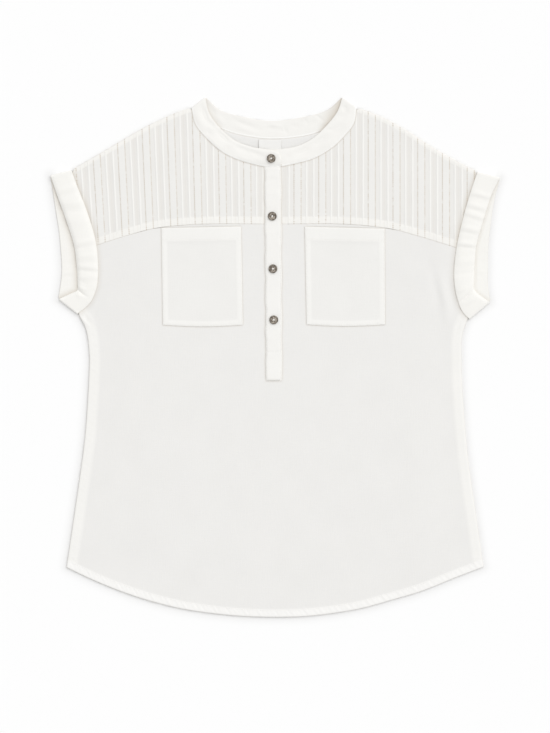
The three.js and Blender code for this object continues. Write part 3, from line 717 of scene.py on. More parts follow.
def yoke_top(side, x, y):
    """Height of a yoke's upper side over the table, with its tucks and turned strips."""
    phase, _ = tuck_phase(side, x, y)
    clear = np.abs(x) > PLACKET_CLEAR
    shoulder = from_edge(SHOULDER_LINES[side], x, y)
    seam_strip = step_up(SEAM_STRIP - (y - np.interp(x, *SEAM_LINE.T)), 1.0) * clear
    panel = PANEL_RISE * step_up(PANEL_HALF - phase, 1.0)
    wander = 1 + 0.12 * np.sin(y / 6.1 + x) + 0.1 * np.sin(y / 2.7 + 2 * x)
    from_pin = np.abs(phase - (TUCK_PERIOD / 2 - PIN_APART))
    pin = PIN_RISE * wander * clear * np.cos(math.pi / 2 * np.clip(from_pin / PIN_HALF, 0, 1)) ** 1.5
    groove = 0.08 * hump(phase - PANEL_HALF, 0.6)
    middle = 0.12 * hump(phase - TUCK_PERIOD / 2, 0.6)
    turned = STRIP_RISE * np.maximum(seam_strip, step_up(SHOULDER_STRIP - shoulder, 1.0))
    return front_floor(x, y) + CLOTH + np.maximum(np.maximum(panel, pin), turned) - groove - middle


def tucked_voile(side):
    """Voile that is whiter where it is double, with a line of small needle holes on each side of a
    flat tuck and a weaker one between two pin tucks."""

    def colour_of(shade):
        out = shade.mark("out")
        place = shade.place()
        down = shade.node("SeparateXYZ", {}, {0: place}, "Y") / (HOLE_PITCH * MM)
        periods = out / TUCK_PERIOD
        phase = shade.math("ABSOLUTE", out - shade.math("ROUND", periods) * TUCK_PERIOD)
        across_hole = phase - PANEL_HALF
        down_hole = (down - shade.math("ROUND", down)) * HOLE_PITCH
        hole = shade.math("SQRT", across_hole * across_hole + down_hole * down_hole)
        uneven = shade.stretched_noise(place, (400, 260, 0), 1.0)
        panel = 1 - phase.over(PANEL_HALF, 1.2)
        pin = (phase - (TUCK_PERIOD / 2 - PIN_APART)).within(1.25, 0.9)
        between = phase.over(TUCK_PERIOD / 2 - PIN_APART + 1.2, 1.0)
        line = across_hole.within(0.8, 0.9)
        middle = (phase - TUCK_PERIOD / 2).within(0.7, 0.8)
        colour = shade.mix(panel, YOKE_SINGLE, YOKE_PANEL)
        colour = shade.mix(between, colour, YOKE_BETWEEN)
        colour = shade.mix(pin, colour, YOKE_PIN)
        colour = shade.mix(shade.mark("turned").over(-0.5, 1.8), colour, YOKE_TURNED)
        colour = shade.mix(line * uneven * LINE_TINT, colour, YOKE_LINE)
        colour = shade.mix(middle * uneven * MIDDLE_TINT, colour, YOKE_LINE)
        return shade.mix((1 - hole.over(0.65, 0.4)) * uneven.over(0.42, 0.2), colour, YOKE_HOLE)

    return cloth_finish("tucked_voile_" + side, colour_of, shade_depth=0.34)


yokes = {}
for side in ("right", "left"):
    yoke_cut = under_placket_edge(drawn_to(outline_of("front_yoke_" + side), SEAM_LINE, 0.3, 0.02))
    yoke_cut = drawn_to(yoke_cut, smooth(NECK_FRONT[side]["sewn"], 4), 0.6, 1.8)
    middles = FIRST_PANEL[side] + OUTWARD[side] * TUCK_PERIOD * np.arange(-1, TUCK_COUNT + 1)
    between = middles + OUTWARD[side] * TUCK_PERIOD / 2
    pins = np.concatenate([between - PIN_APART, between + PIN_APART])
    lines = np.concatenate([middles - PANEL_HALF, middles + PANEL_HALF])
    fine = np.concatenate([
        (pins[:, None] + PIN_COLUMNS).ravel(),
        (lines[:, None] + LINE_COLUMNS).ravel(),
        middles,
        middles + TUCK_PERIOD / 2,
        middles + TUCK_PERIOD / 2 - 1.0,
        middles + TUCK_PERIOD / 2 + 1.0,
    ])
    columns = np.unique(np.round(fine, 2))
    c, y = np.meshgrid(columns, YOKE_ROWS)
    x = c * (1 + LEAN[side] * (y - LEVEL_Y))
    seam_rows = np.interp(columns, *SEAM_LINE.T)
    edges_of_strip = np.concatenate([
        np.stack([columns, seam_rows + SEAM_STRIP + rise], axis=1) for rise in (-0.6, 0.6)
    ])
    places = np.stack([x.ravel(), y.ravel()], axis=1)
    off_strip = np.abs(places[:, 1] - np.interp(places[:, 0], *SEAM_LINE.T) - SEAM_STRIP) > 1.4
    yoke_flat, yoke_faces = cut_out(yoke_cut, np.vstack([places[off_strip], edges_of_strip]), 2.0)
    x, y = yoke_flat.T
    yoke_edge = from_edge(yoke_cut, x, y, closed=True)
    above_seam = y - np.interp(x, *SEAM_LINE.T)
    shoulder = from_edge(SHOULDER_LINES[side], x, y)
    over = yoke_top(side, x, y) - rolled_edge(yoke_edge, SEAM_GAP) - rolled_edge(above_seam, 0.1, 3.0)
    over -= rolled_edge(shoulder, OUTER_DROP, OUTER_ROLL)
    marks = {
        "edge": yoke_edge,
        "out": tuck_phase(side, x, y)[1],
        "turned": np.maximum(SEAM_STRIP - above_seam, SHOULDER_STRIP - shoulder),
    }
    under = front_underside(x, y, shoulder)
    yoke = laid_shell("yoke_" + side, x, y, over, under, yoke_faces, marks)
    yoke_size = tuple(np.ptp(yoke_cut, axis=0) * MM)
    yoke_area = area_of(yoke_flat, yoke_faces)
    yokes[side] = yoke
    finish = tucked_voile(side)
    sewn(yoke, "front_yoke_" + side, finish, yoke_size, yoke_area)

# The stitching
# White thread, sewn through the turned strips. Each stitch is a short length of thread that
# rises from one needle hole and goes down in the next.
STITCH = 2.5
STITCH_GAP = 0.9
STITCH_SLANT = 0.12
STITCH_SHAPE = np.array([
    # share of its length, aside, up, share of the thread's thickness
    (0, -1, -0.12, 0.6), (0.16, -0.6, 0.08, 0.95), (0.5, 0, 0.16, 1.0), (0.84, 0.6, 0.08, 0.95),
    (1, 1, -0.12, 0.6),
])
THREAD = 0.2
THREAD_SIDES = 6


def tube_faces(first, rings, around):
    """The faces between rings of points, each closed on itself."""
    faces = []
    for ring in range(rings - 1):
        start = first + ring * around
        for i in range(around):
            a, b = start + i, start + (i + 1) % around
            faces.append((a, b, b + around, a + around))
    return faces


def thread_finish():
    """Matt white thread with fine fibres."""
    material, shade = new_material("white_thread")
    place = shade.place()
    fibre = shade.stretched_noise(place, (3000, 3000, 3000), 2.0)
    white = shade.mix(fibre, seen(238, 236, 231), seen(250, 249, 246))
    shade.surface({
        "Base Color": white,
        "Roughness": 0.6,
        "Sheen Weight": 0.1,
        "Normal": shade.bump(0.4, 0.1 * MM, fibre),
    })
    return material


def sewn_lines(name, runs, finish):
    """Stitches along runs of surface points, joined as one piece."""
    points, faces = [], []
    at_share, aside_share, up_by, thickness = STITCH_SHAPE.T
    for run in runs:
        lengths = np.concatenate([[0], np.cumsum(np.linalg.norm(np.diff(run, axis=0), axis=1))])
        count = int(lengths[-1] // (STITCH + STITCH_GAP))
        for i in range(count):
            start = (i + 0.15) * (STITCH + STITCH_GAP)
            slant = STITCH_SLANT * math.sin(i * 2.4)
            at = start + STITCH * at_share
            middle = np.stack([np.interp(at, lengths, run[:, axis]) for axis in range(3)], axis=1)
            way = middle[-1] - middle[0]
            way /= np.linalg.norm(way)
            aside = np.cross([0, 0, 1], way)
            aside /= np.linalg.norm(aside)
            middle += aside * slant * aside_share[:, None]
            middle[:, 2] += up_by
            first = len(points)
            for centre, radius in zip(middle, THREAD * thickness):
                for k in range(THREAD_SIDES):
                    angle = 2 * math.pi * k / THREAD_SIDES
                    up = np.array([0, 0, 0.8 * math.sin(angle)])
                    points.append(centre + radius * (aside * math.cos(angle) + up))
            last = len(points) - THREAD_SIDES
            faces += [face[::-1] for face in tube_faces(first, len(STITCH_SHAPE), THREAD_SIDES)]
            faces.append(tuple(range(first, first + THREAD_SIDES)))
            faces.append(tuple(range(last + THREAD_SIDES - 1, last - 1, -1)))
    piece = new_piece(name, points, faces, {})
    piece.data.materials.append(finish)
    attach(piece, "root")


def lifted(run, top):
    """A run in the plane, laid on a surface."""
    return np.column_stack([run, top(run[:, 0], run[:, 1])])


THREAD_WHITE = thread_finish()
hem_run = divided(sideways(HEM_LINE, HEM_TURN - 1.0), 2.0, False)[4:-4]
sewn_lines("hem_stitches", [lifted(hem_run, lower_front_top)], THREAD_WHITE)

# The placket
# Two bands of doubled voile. The under one fills the slit in the lower front, and the upper one
# laps over both its edges, topstitched all round and stitched across near its lower end.
BAND = 1.6
PLACKET_TOP = 250.9
UNDER_NECKBAND = 2.4
TOP_DROP = 0.8
UNDER_BOTTOM = 2.0
OVER_BOTTOM = -31.5
OVER_EDGES = {"right": (-14.4, -12.6), "left": (8.0, 9.4)}
CROSS_STITCH = 7.6
PLACKET_CREASES = [
    # from x, from y, to x, to y, half width, rise, bow
    (-10, 236, 6, 248, 2.2, 0.6, 1),
    (-12, 230, 2, 241, 1.8, -0.4, 1),
    (-13, 222, -4, 213, 2.0, 0.4, 1),
    (1, 230, 7, 204, 2.0, 0.4, 1),
    (-12, 170, -2, 158, 2.4, 0.3, -1),
    (3, 160, 8, 138, 2.0, 0.35, 0),
    (-12, 140, -8, 118, 2.0, 0.3, 0),
    (-10, 96, 4, 84, 2.4, 0.3, 1),
    (4, 72, 9, 50, 2.0, 0.3, 0),
    (-12, 30, 0, 18, 2.2, 0.3, 1),
]
STITCH_IN = 1.5
SEWN_GROOVE = 0.22
# the places of the mesh's columns, from either edge, on a placket of this width
PLACKET_COLUMNS = np.array([0, 0.35, 0.75, 1.1, 1.5, 1.9, 2.6, 4, 6])
PLACKET_WIDTH = 22.2


def doubled_voile(name, white, shade_depth=0.5, rim=None):
    """Voile in two layers, of one white all over."""
    return cloth_finish(name, lambda shade: white, edge_shade_reach=0.9, shade_depth=shade_depth, rim=rim)


def grid_faces(rows, columns, ring=False):
    """The faces of a grid of points; with ring, its last row joins its first."""
    index = np.arange(rows * columns).reshape(rows, columns)
    if ring:
        index = np.vstack([index, index[:1]])
    corners = [index[:-1, :-1], index[:-1, 1:], index[1:, 1:], index[1:, :-1]]
    return np.stack(corners, axis=-1).reshape(-1, 4)


def border_of(x, y):
    """The outer run of a grid of places."""
    return np.concatenate([
        np.stack([x[0], y[0]], axis=1),
        np.stack([x[1:, -1], y[1:, -1]], axis=1),
        np.stack([x[-1, -2::-1], y[-1, -2::-1]], axis=1),
        np.stack([x[-2:0:-1, 0], y[-2:0:-1, 0]], axis=1),
    ])


def strip(name, x, y, over, under, drop=ROLL_DROP, reach=ROLL, sewn_down=0.0, extra=None, edge=None):
    """A thin wall over a grid of places. Its edge rolls down, and its underside with it."""
    if edge is None:
        edge = from_edge(border_of(x, y), x.ravel(), y.ravel(), closed=True)
    faces = grid_faces(*x.shape)
    x, y, over, under = (values.ravel() for values in (x, y, over, under))
    over = over - rolled_edge(edge, drop, reach)
    under = under - rolled_edge(edge, sewn_down, reach)
    return laid_shell(name, x, y, over, under, faces, {"edge": edge, **(extra or {})})


def placket_edges(y):
    """Where the upper placket's two long edges run, with a slight wave."""
    share = (y - PLACKET_TOP) / (OVER_BOTTOM - PLACKET_TOP)
    right, left = (near + (far - near) * share for near, far in OVER_EDGES.values())
    return right + 0.4 * np.sin(y / 7.3) + 0.2 * np.sin(y / 3.1), left + 0.45 * np.sin(y / 8.9 + 2)


def placket_top(x, y):
    """Height of the upper placket's upper side over the table."""
    right, left = placket_edges(y)
    from_side = np.minimum(x - right, left - x)
    groove = SEWN_GROOVE * (hump(from_side - STITCH_IN, 0.5) + hump(y - CROSS_STITCH, 0.6))
    waves = 0.1 * np.sin(y / 2.1 + np.sin(y / 9)) + 0.07 * np.sin(y / 3.7 + 1)
    raised = waves * hump(from_side, 4.5) + creases(PLACKET_CREASES, x, y) - groove
    return front_floor(x, y) + CLOTH + GAP + BAND + raised - TOP_DROP * ramp((y - PLACKET_TOP + 2) / 3)


def shaded_by(pieces, outline, reach):
    """Marks how near each piece comes to the edge of one that lies on it, for its warm shade."""
    for piece in pieces:
        x, y = np.array([v.co[:2] for v in piece.data.vertices]).T / MM
        away = from_edge(outline, x, y, closed=True) * np.where(within(outline, x, y), -1, 1) / reach
        layer = piece.data.attributes["cover"].data
        known = np.zeros(len(layer), np.float32)
        layer.foreach_get("value", known)
        layer.foreach_set("value", np.minimum(known, away).astype(np.float32))


PLACKET_WHITE = doubled_voile("placket_voile", seen(246, 244.7, 241.4))
under_rows = np.linspace(PLACKET_TOP - GAP, UNDER_BOTTOM, 90)
y, x = np.meshgrid(under_rows, np.linspace(-UNDER_HALF, UNDER_HALF, 9), indexing="ij")
floor = front_floor(x, y)
placket_under = strip("under_placket", x, y, floor + CLOTH, floor + 0.2)
under_flat = (2 * UNDER_HALF * MM, (PLACKET_TOP - GAP - UNDER_BOTTOM) * MM)
sewn(placket_under, "placket_under", PLACKET_WHITE, under_flat)

y = np.linspace(PLACKET_TOP + UNDER_NECKBAND, OVER_BOTTOM, 190)
right, left = placket_edges(y)
columns = np.concatenate([PLACKET_COLUMNS, [PLACKET_WIDTH / 2], PLACKET_WIDTH - PLACKET_COLUMNS[::-1]])
x = right[:, None] + (left - right)[:, None] * columns / PLACKET_WIDTH
y = np.repeat(y[:, None], x.shape[1], axis=1)
top = placket_top(x, y)
open_edges = from_edge(border_of(x, y)[x.shape[1] - 1:], x.ravel(), y.ravel())
placket_over = strip(
    "upper_placket", x, y, top, front_floor(x, y) + CLOTH + GAP + 0.2, 1.7, 2.8, 0.45, edge=open_edges,
)
shaded_by([lower_front, *yokes.values()], border_of(x, y), 3.5)
over_flat = (float(np.mean(left - right)) * MM, (PLACKET_TOP - OVER_BOTTOM) * MM)
sewn(placket_over, "placket_over", PLACKET_WHITE, over_flat)

down = np.linspace(PLACKET_TOP - 2, OVER_BOTTOM + STITCH_IN, 200)
right, left = placket_edges(down)
bottom_x = np.linspace(right[-1] + STITCH_IN, left[-1] - STITCH_IN, 12)
bottom_run = np.stack([bottom_x, np.full(12, down[-1])], axis=1)
cross_run = bottom_run + np.array([0, CROSS_STITCH - down[-1]])
placket_runs = [
    np.stack([right + STITCH_IN, down], axis=1),
    np.stack([left - STITCH_IN, down], axis=1),
    bottom_run,
    cross_run,
]
placket_lines = [lifted(run, placket_top) for run in placket_runs]
sewn_lines("placket_stitches", placket_lines, THREAD_WHITE)

# The neckband
# One band of doubled voile. It stands on the neck seam, folds at both shoulders, and its ends
# cross in front, the wearer's right one on top with a rounded corner.
NECK_PARTS = 32
NECKBAND_LIFT = 0.6
NECK_SWELL = 0.35
SEWN_DROP = 0.45
FREE_DROP = 0.5
TAB_CLIMB = 1.5
TAB_SEWN = 0.85
BAND_WIDTH = 25
# the shade on the back of the neck: its start at the free edge, least reach and added reach
NECK_SHADE = {"right": (0.36, 4.0, 9.0), "left": (0.0, 5.0, 17.0)}
NECK_SHADE_FROM = 296
NECK_SHADE_OVER = 34
TAB_SHADE_REACH = 3.5
TAB_RISE = (-50, -13)
TURN_LINES = 9
NECK_CREASES = [
    # from x, from y, to x, to y, half width, rise, bow
    (-99, 339, -86, 304, 3.0, -1.7, 1.0),
    (-91, 316, -77, 302, 2.5, -1.2, 0.5),
    (-82, 306, -55, 280, 3.0, -1.6, 1.5),
    (-62, 284, -22, 269, 2.8, -1.2, 1.5),
    (-38, 275, -6, 263, 2.5, -1.4, 1.0),
    (-92, 302, -84, 293, 2.3, -0.8, 0.0),
    (-107, 334, -90, 299, 4.0, 0.9, 3.0),
    (-92, 298, -60, 271, 3.7, 0.9, 3.0),
    (-58, 271, -20, 258, 3.4, 0.8, 2.0),
    (-70, 288, -48, 275, 1.8, 0.6, 1.0),
    (90, 337, 95, 321, 3.2, -1.4, 0.0),
    (80, 313, 98, 327, 2.8, -1.2, 0.0),
    (63, 300, 95, 311, 2.1, -1.4, 2.4),
    (73, 298, 43, 277, 3.2, -1.6, -1.8),
    (52, 283, 20, 266, 3.2, -1.6, -1.4),
    (26, 270, 10, 263, 2.3, -0.6, 0.0),
    (101, 322, 84, 297, 3.4, 0.9, -2.0),
    (84, 298, 54, 274, 3.7, 0.9, -2.4),
    (50, 271, 16, 256, 3.0, 0.8, -1.6),
    (69, 303, 91, 308, 1.8, 0.8, 2.0),
]
NECK_BACK_CREASES = [
    (-90, 338, -71, 313, 2.3, -0.9, 1.0),
    (-84, 330, -62, 305, 2.5, 0.9, 2.0),
    (-64, 319, -10, 300, 2.7, -1.2, 2.0),
    (-58, 308, -20, 297, 2.1, 0.6, 1.0),
    (-19, 300, 9, 299, 1.4, -1.0, -4.0),
    (-12, 306, 12, 305, 1.7, 0.6, -2.0),
    (0, 304, 19, 297, 1.4, -0.9, 0.0),
    (11, 308, 17, 294, 1.4, -0.9, 0.0),
    (15, 301, 36, 309, 1.5, -0.9, -1.0),
    (39, 318, 43, 307, 1.4, -0.8, 0.0),
    (42, 308, 57, 316, 1.5, -0.8, 1.5),
    (52, 323, 66, 312, 1.4, -0.9, 0.0),
    (26, 313, 52, 322, 2.1, 0.6, 0.0),
    (56, 306, 74, 316, 2.3, 0.8, 0.0),
]
# where a band's lines run, as shares of its width from its sewn edge to its free one
STITCHED_SHARE = 0.07
BAND_SHARES = np.array([
    0, 0.02, 0.045, STITCHED_SHARE, 0.1, 0.14, 0.2, 0.28, 0.38,
    0.5, 0.62, 0.72, 0.8, 0.87, 0.92, 0.955, 0.98, 1,
])
# the line by which a band's length and level are told
MIDDLE = 8


def evenly(points, parts):
    """A smooth run through a table of points, in steps of even length."""
    run = smooth(points, 40)
    lengths = np.concatenate([[0], np.cumsum(np.linalg.norm(np.diff(run, axis=0), axis=1))])
    at = np.linspace(0, lengths[-1], parts + 1)
    return np.stack([np.interp(at, lengths, run[:, axis]) for axis in (0, 1)], axis=1)


def way_out(a, b, inside):
    """The way out of a fold line, square to it and away from a point inside the garment."""
    a, b = np.array(a, float), np.array(b, float)
    way = np.array([b[1] - a[1], a[0] - b[0]]) / math.dist(a, b)
    return -way if way @ (np.array(inside) - a) > 0 else way


def drawn_back(run, outward, room):
    """A run whose start is drawn back along itself, by the room that the fold there needs."""
    way = run[2] - run[0]
    return np.vstack([run[0] - way * room / (way @ outward), run[2:]])


def across(first, second, height, profile=0.0):
    """Places over a band, from its first edge to its second, at a height with a profile added."""
    flat = first[:, None] + (second - first)[:, None] * BAND_SHARES[None, :, None]
    return np.dstack([flat, height(flat[..., 0], flat[..., 1]) + profile])


def turned_over(upper, lower, outward):
    """Lines that carry a band round a fold, from its upper line down to its lower one."""
    lines = []
    radius = (upper[:, 2] - lower[:, 2]) / 2
    for i in range(TURN_LINES):
        angle = math.pi * (i + 1) / (TURN_LINES + 1)
        line = upper.copy()
        line[:, :2] += np.outer(radius * math.sin(angle), outward)
        line[:, 2] = (upper[:, 2] + lower[:, 2]) / 2 + radius * math.cos(angle)
        lines.append(line)
    return np.array(lines)


def band_shell(name, rows, depths, ring, ridges):
    """A band of doubled cloth about its middle surface, with folded, rounded long edges."""
    if ring:
        along = np.roll(rows, -1, axis=0) - np.roll(rows, 1, axis=0)
    else:
        along = np.gradient(rows, axis=0)
    normal = np.cross(along, np.gradient(rows, axis=1))
    normal /= np.linalg.norm(normal, axis=2, keepdims=True)
    width = np.linalg.norm(rows[:, -1] - rows[:, 0], axis=1)[:, None]
    edge = np.minimum(BAND_SHARES, 1 - BAND_SHARES) * width
    round_edge = np.sqrt(np.clip(1 - (1 - np.clip(edge / 0.8, 0, 1)) ** 2, 0.06, 1))
    half = (depths[:, None] / 2 * round_edge)[..., None]
    faces_up = np.sign(normal[len(rows) // 6, MIDDLE, 2] if ring else normal[:, MIDDLE, 2].mean())
    over, under = rows + normal * half * faces_up, rows - normal * half * faces_up
    over_on_top = normal[..., 2] * faces_up > 0
    over[..., 2] += np.where(over_on_top, ridges, 0)
    under[..., 2] += np.where(over_on_top, 0, ridges)
    over[..., 2] = np.maximum(over[..., 2], 0)
    under[..., 2] = np.maximum(under[..., 2], 0)
    marks = {"edge": edge.ravel(), "sewn_edge": (BAND_SHARES * width).ravel()}
    faces = grid_faces(*rows.shape[:2], ring)
    return shell(name, over.reshape(-1, 3), under.reshape(-1, 3), faces, marks), over


def length_of(run):
    """Length of a run in mm."""
    return float(np.linalg.norm(np.diff(run, axis=0), axis=1).sum())


def covered(piece, cover):
    """Marks how near each place of a shell is to the cloth that shades it, alike on both sides."""
    layer = piece.data.attributes["cover"].data
    layer.foreach_set("value", np.tile(cover.ravel(), 2).astype(np.float32))


def near_tab(x):
    """How far the neckband's upper end has climbed on to its lower one, from 0 to 1."""
    return ramp((x - TAB_RISE[0]) / (TAB_RISE[1] - TAB_RISE[0]))


back_level = CLOTH / 2
neck_rise = NECKBAND_LIFT + BAND / 2
NECK_PROFILE = NECK_SWELL * np.sin(math.pi * BAND_SHARES) - SEWN_DROP * (1 - ramp(BAND_SHARES / 0.06))
NECK_PROFILE -= FREE_DROP * (1 - ramp((1 - BAND_SHARES) / 0.16))
neck_room = (FRONT_FLOOR + neck_rise - back_level) / 2 + BAND / 2
neck_out = {s: way_out(NECK_FRONT[s]["sewn"][0], NECK_FRONT[s]["free"][0], (0, 250)) for s in OUTWARD}
neck_fronts = {}
for side in ("right", "left"):
    tab = TAB_CLIMB if side == "right" else 0

    def neck_height(x, y):
        return front_floor(x, y) + neck_rise + tab * near_tab(x)

    edges = [
        smooth(drawn_back(smooth(NECK_FRONT[side][edge], 4), neck_out[side], neck_room), 4)
        for edge in ("sewn", "free")
    ]
    neck_profile = np.tile(NECK_PROFILE, (len(edges[0]), 1))
    if side == "right":
        sewn_down = TAB_CLIMB * TAB_SEWN * (1 - ramp(BAND_SHARES / 0.35))
        neck_profile = neck_profile - np.outer(near_tab(edges[0][:, 0]), sewn_down)
    neck_fronts[side] = across(*edges, neck_height, neck_profile)
    shaded_by(yokes.values(), np.vstack([edges[0], edges[1][::-1]]), 2.5)
back_edges = []
for given in (NECK_SEAM_BACK, NECK_TOP):
    run = drawn_back(evenly(given, NECK_PARTS), neck_out["right"], neck_room)
    run = drawn_back(run[::-1], neck_out["left"], neck_room)[::-1]
    back_edges.append(smooth(run, 4))
neck_back = across(*back_edges, lambda x, y: np.full(x.shape, back_level))
neck_rows = np.concatenate([
    neck_fronts["right"][::-1],
    turned_over(neck_fronts["right"][0], neck_back[0], neck_out["right"]),
    neck_back,
    turned_over(neck_fronts["left"][0], neck_back[-1], neck_out["left"])[::-1],
    neck_fronts["left"],
])
in_front = np.clip((neck_rows[:, MIDDLE, 2] - back_level) / (FRONT_FLOOR + neck_rise - back_level), 0, 1)
neck_depths = np.full(len(neck_rows), CLOTH)
nx, ny = neck_rows[..., 0], neck_rows[..., 1]
front_ridges = creases(NECK_CREASES, nx, ny)
seam_away = BAND_SHARES * np.linalg.norm(neck_rows[:, -1] - neck_rows[:, 0], axis=1)[:, None]
groove = SEWN_GROOVE * hump(seam_away - STITCH_IN, 0.5)
puckers = 0.07 * np.sin(nx / 1.7 + ny / 2.3) * hump(seam_away, 4)
neck_ridges = np.where(in_front[:, None] > 0.5, front_ridges + puckers - groove, 0)
neck_ridges += np.where(in_front[:, None] < 0.01, creases(NECK_BACK_CREASES, nx, ny), 0)
NECKBAND_WHITE = doubled_voile("neckband_voile", seen(246, 244.6, 240.8), 0.5, seen(255, 254.5, 252.5))
neckband, neck_over = band_shell("neckband_cloth", neck_rows, neck_depths, False, neck_ridges)
# painted warm shade on the back of the band by the front's free edges, and on its lower end beside the tab
neck_cover = np.full(nx.shape, FAR)
for side in ("right", "left"):
    free_edge = neck_fronts[side][:, -1, :2]
    start, least, more = NECK_SHADE[side]
    reach = least + more * ramp((ny - NECK_SHADE_FROM) / NECK_SHADE_OVER)
    shaded_back = start + (1 - start) * from_edge(free_edge, nx, ny) / reach
    neck_cover = np.where(in_front[:, None] < 0.01, np.minimum(neck_cover, shaded_back), neck_cover)
tab_edge = np.vstack([neck_fronts["right"][-6:, -1, :2], neck_fronts["right"][-1, ::-1, :2]])
beside_tab = (np.arange(len(nx)) > len(nx) - NECK_PARTS)[:, None] & (nx > tab_edge[-1, 0])
neck_cover = np.where(beside_tab, from_edge(tab_edge, nx, ny) / TAB_SHADE_REACH, neck_cover)
covered(neckband, neck_cover)
neck_flat = (length_of(neck_rows[:, MIDDLE]) * MM, BAND_WIDTH * MM)
sewn(neckband, "neckband", NECKBAND_WHITE, neck_flat)

seam_column = int(np.argmin(np.abs(BAND_SHARES - STITCHED_SHARE)))
front_rows = len(neck_fronts["right"]) - 2
neck_lines = [neck_over[:front_rows, seam_column], neck_over[-front_rows:, seam_column]]
sewn_lines("neckband_stitches", neck_lines, THREAD_WHITE)

# The cuffs
# Each is a ring of doubled voile, turned up round the armhole and folded at the shoulder and
# under the arm. Where it was ironed flat it keeps a few cross creases.
CUFF_FRONT = {
    "right": [
        # body edge x, y, sleeve mouth x, y
        (-270, 248, -298, 241), (-261, 223.5, -289, 214.5), (-249, 192.5, -278, 184),
        (-238, 155, -267, 149.5), (-234.5, 122, -263, 120), (-235.5, 98, -262, 98), (-238.5, 86, -262, 91),
        (-243.5, 74.5, -264, 87.5), (-252, 65, -273, 83.5), (-263, 57, -288, 76.5),
    ],
    "left": [
        (268, 246, 298.4, 238), (261.5, 227, 287.5, 217), (253, 199.5, 279, 191),
        (246, 172.5, 271.5, 166), (241, 149.5, 266.5, 146), (237.5, 123.5, 264.5, 122),
        (237, 103.5, 264, 103), (239.5, 84.5, 263.5, 92), (244.5, 67.5, 268, 85), (250, 57.5, 276, 79),
        (258, 50, 285.5, 72.5),
    ],
}
CUFF_BACK_BODY = {
    "right": [(-270, 248), (-262.5, 204), (-256.5, 163), (-253.5, 122), (-254, 99), (-263, 57)],
    "left": [(268, 246), (261.5, 211), (256, 178), (253, 147), (252, 117), (252.5, 93), (258, 50)],
}
CUFF_WIDTH = 29
CUFF_CLIMB = (115, 138)
CUFF_GAPE = {"right": 0.1, "left": -0.4}
CUFF_SHADE_REACH = {"right": 11.0, "left": 6.0}
MOUTH_DROP = {"right": 2.2, "left": 2.4}
SEWN_EDGE_DROP = {"right": 1.0, "left": 0.45}
SEWN_EDGE_CLIMB = 0.75
CUFF_PUFF = 1.2
CUFF_MIDDLE = 264
CUFF_SHADE_LEAST = {"right": 0.12, "left": 0.4}
CUFF_CREASES = {
    # height down the cuff, rise, half width, slant
    "right": [
        (226, 0.85, 3.6, 0.3), (213, 0.85, 2.7, 0.35), (205, 1.19, 3.6, 0.15), (194, -0.77, 2.7, 0.1),
        (180, 0.68, 5.4, 0.1), (149.5, 1.2, 3.1, 0.2), (145, -0.7, 1.6, 0.2), (132, 0.85, 4.0, 0.1),
        (121, 1.1, 3.1, -0.1), (116, -0.75, 1.6, -0.1), (106, 0.59, 3.1, 0),
    ],
    "left": [
        (217, 1.27, 3.2, -0.22), (212, -0.51, 1.6, -0.22), (201, 1.19, 3.4, -0.26), (195, -0.59, 1.8, -0.26),
        (188, 1.02, 2.9, -0.3), (182.5, -0.59, 1.8, -0.3), (169, 1.19, 3.6, -0.2), (163, -0.51, 1.8, -0.2),
        (149, 1.27, 3.2, -0.12), (144, -0.68, 1.6, -0.12), (128, 0.59, 4.5, 0.1), (112, -0.42, 3.6, 0.1),
    ],
}
CORNER_CREASES = [
    # from x, from y, to x, to y, half width, rise, bow
    (-266, 96, -246, 78, 1.8, -1.5, 2),
    (-264, 98, -246, 88, 2.2, 0.8, 2),
    (-262, 106, -245, 96, 1.8, -0.5, 2),
    (-266, 88, -256, 76, 2.4, 0.5, 0),
    (268, 96, 240, 68, 1.8, -1.8, -1),
    (260, 99, 240, 84, 2.6, 0.7, -1),
    (270, 87, 250, 66, 2.6, 0.7, -1),
]
BACK_CUFF_CREASES = [
    (-278, 138, -264, 146, 3, 0.4, 0),
    (-282, 122, -264, 126, 2.4, -0.4, 0),
    (-284, 108, -266, 116, 2.2, 0.5, 0),
    (-282, 104, -268, 110, 1.8, -0.4, 0),
    (284, 150, 270, 140, 2.6, 0.4, 0),
    (282, 128, 266, 124, 2.4, -0.4, 0),
    (283, 110, 266, 116, 2.6, 0.4, 0),
]


def cuff_climb(y):
    """How far a cuff has climbed from the plain cloth on to the tucks, from 0 to 1."""
    return ramp((y - CUFF_CLIMB[0]) / (CUFF_CLIMB[1] - CUFF_CLIMB[0]))


over_body = CLOTH + GAP + BAND / 2
over_tucks = over_body + PIN_RISE
cuff_room = (FRONT_FLOOR + over_tucks - back_level) / 2 + BAND / 2
CUFF_WHITE = doubled_voile("cuff_voile", seen(247.6, 246.2, 242), 0.36)

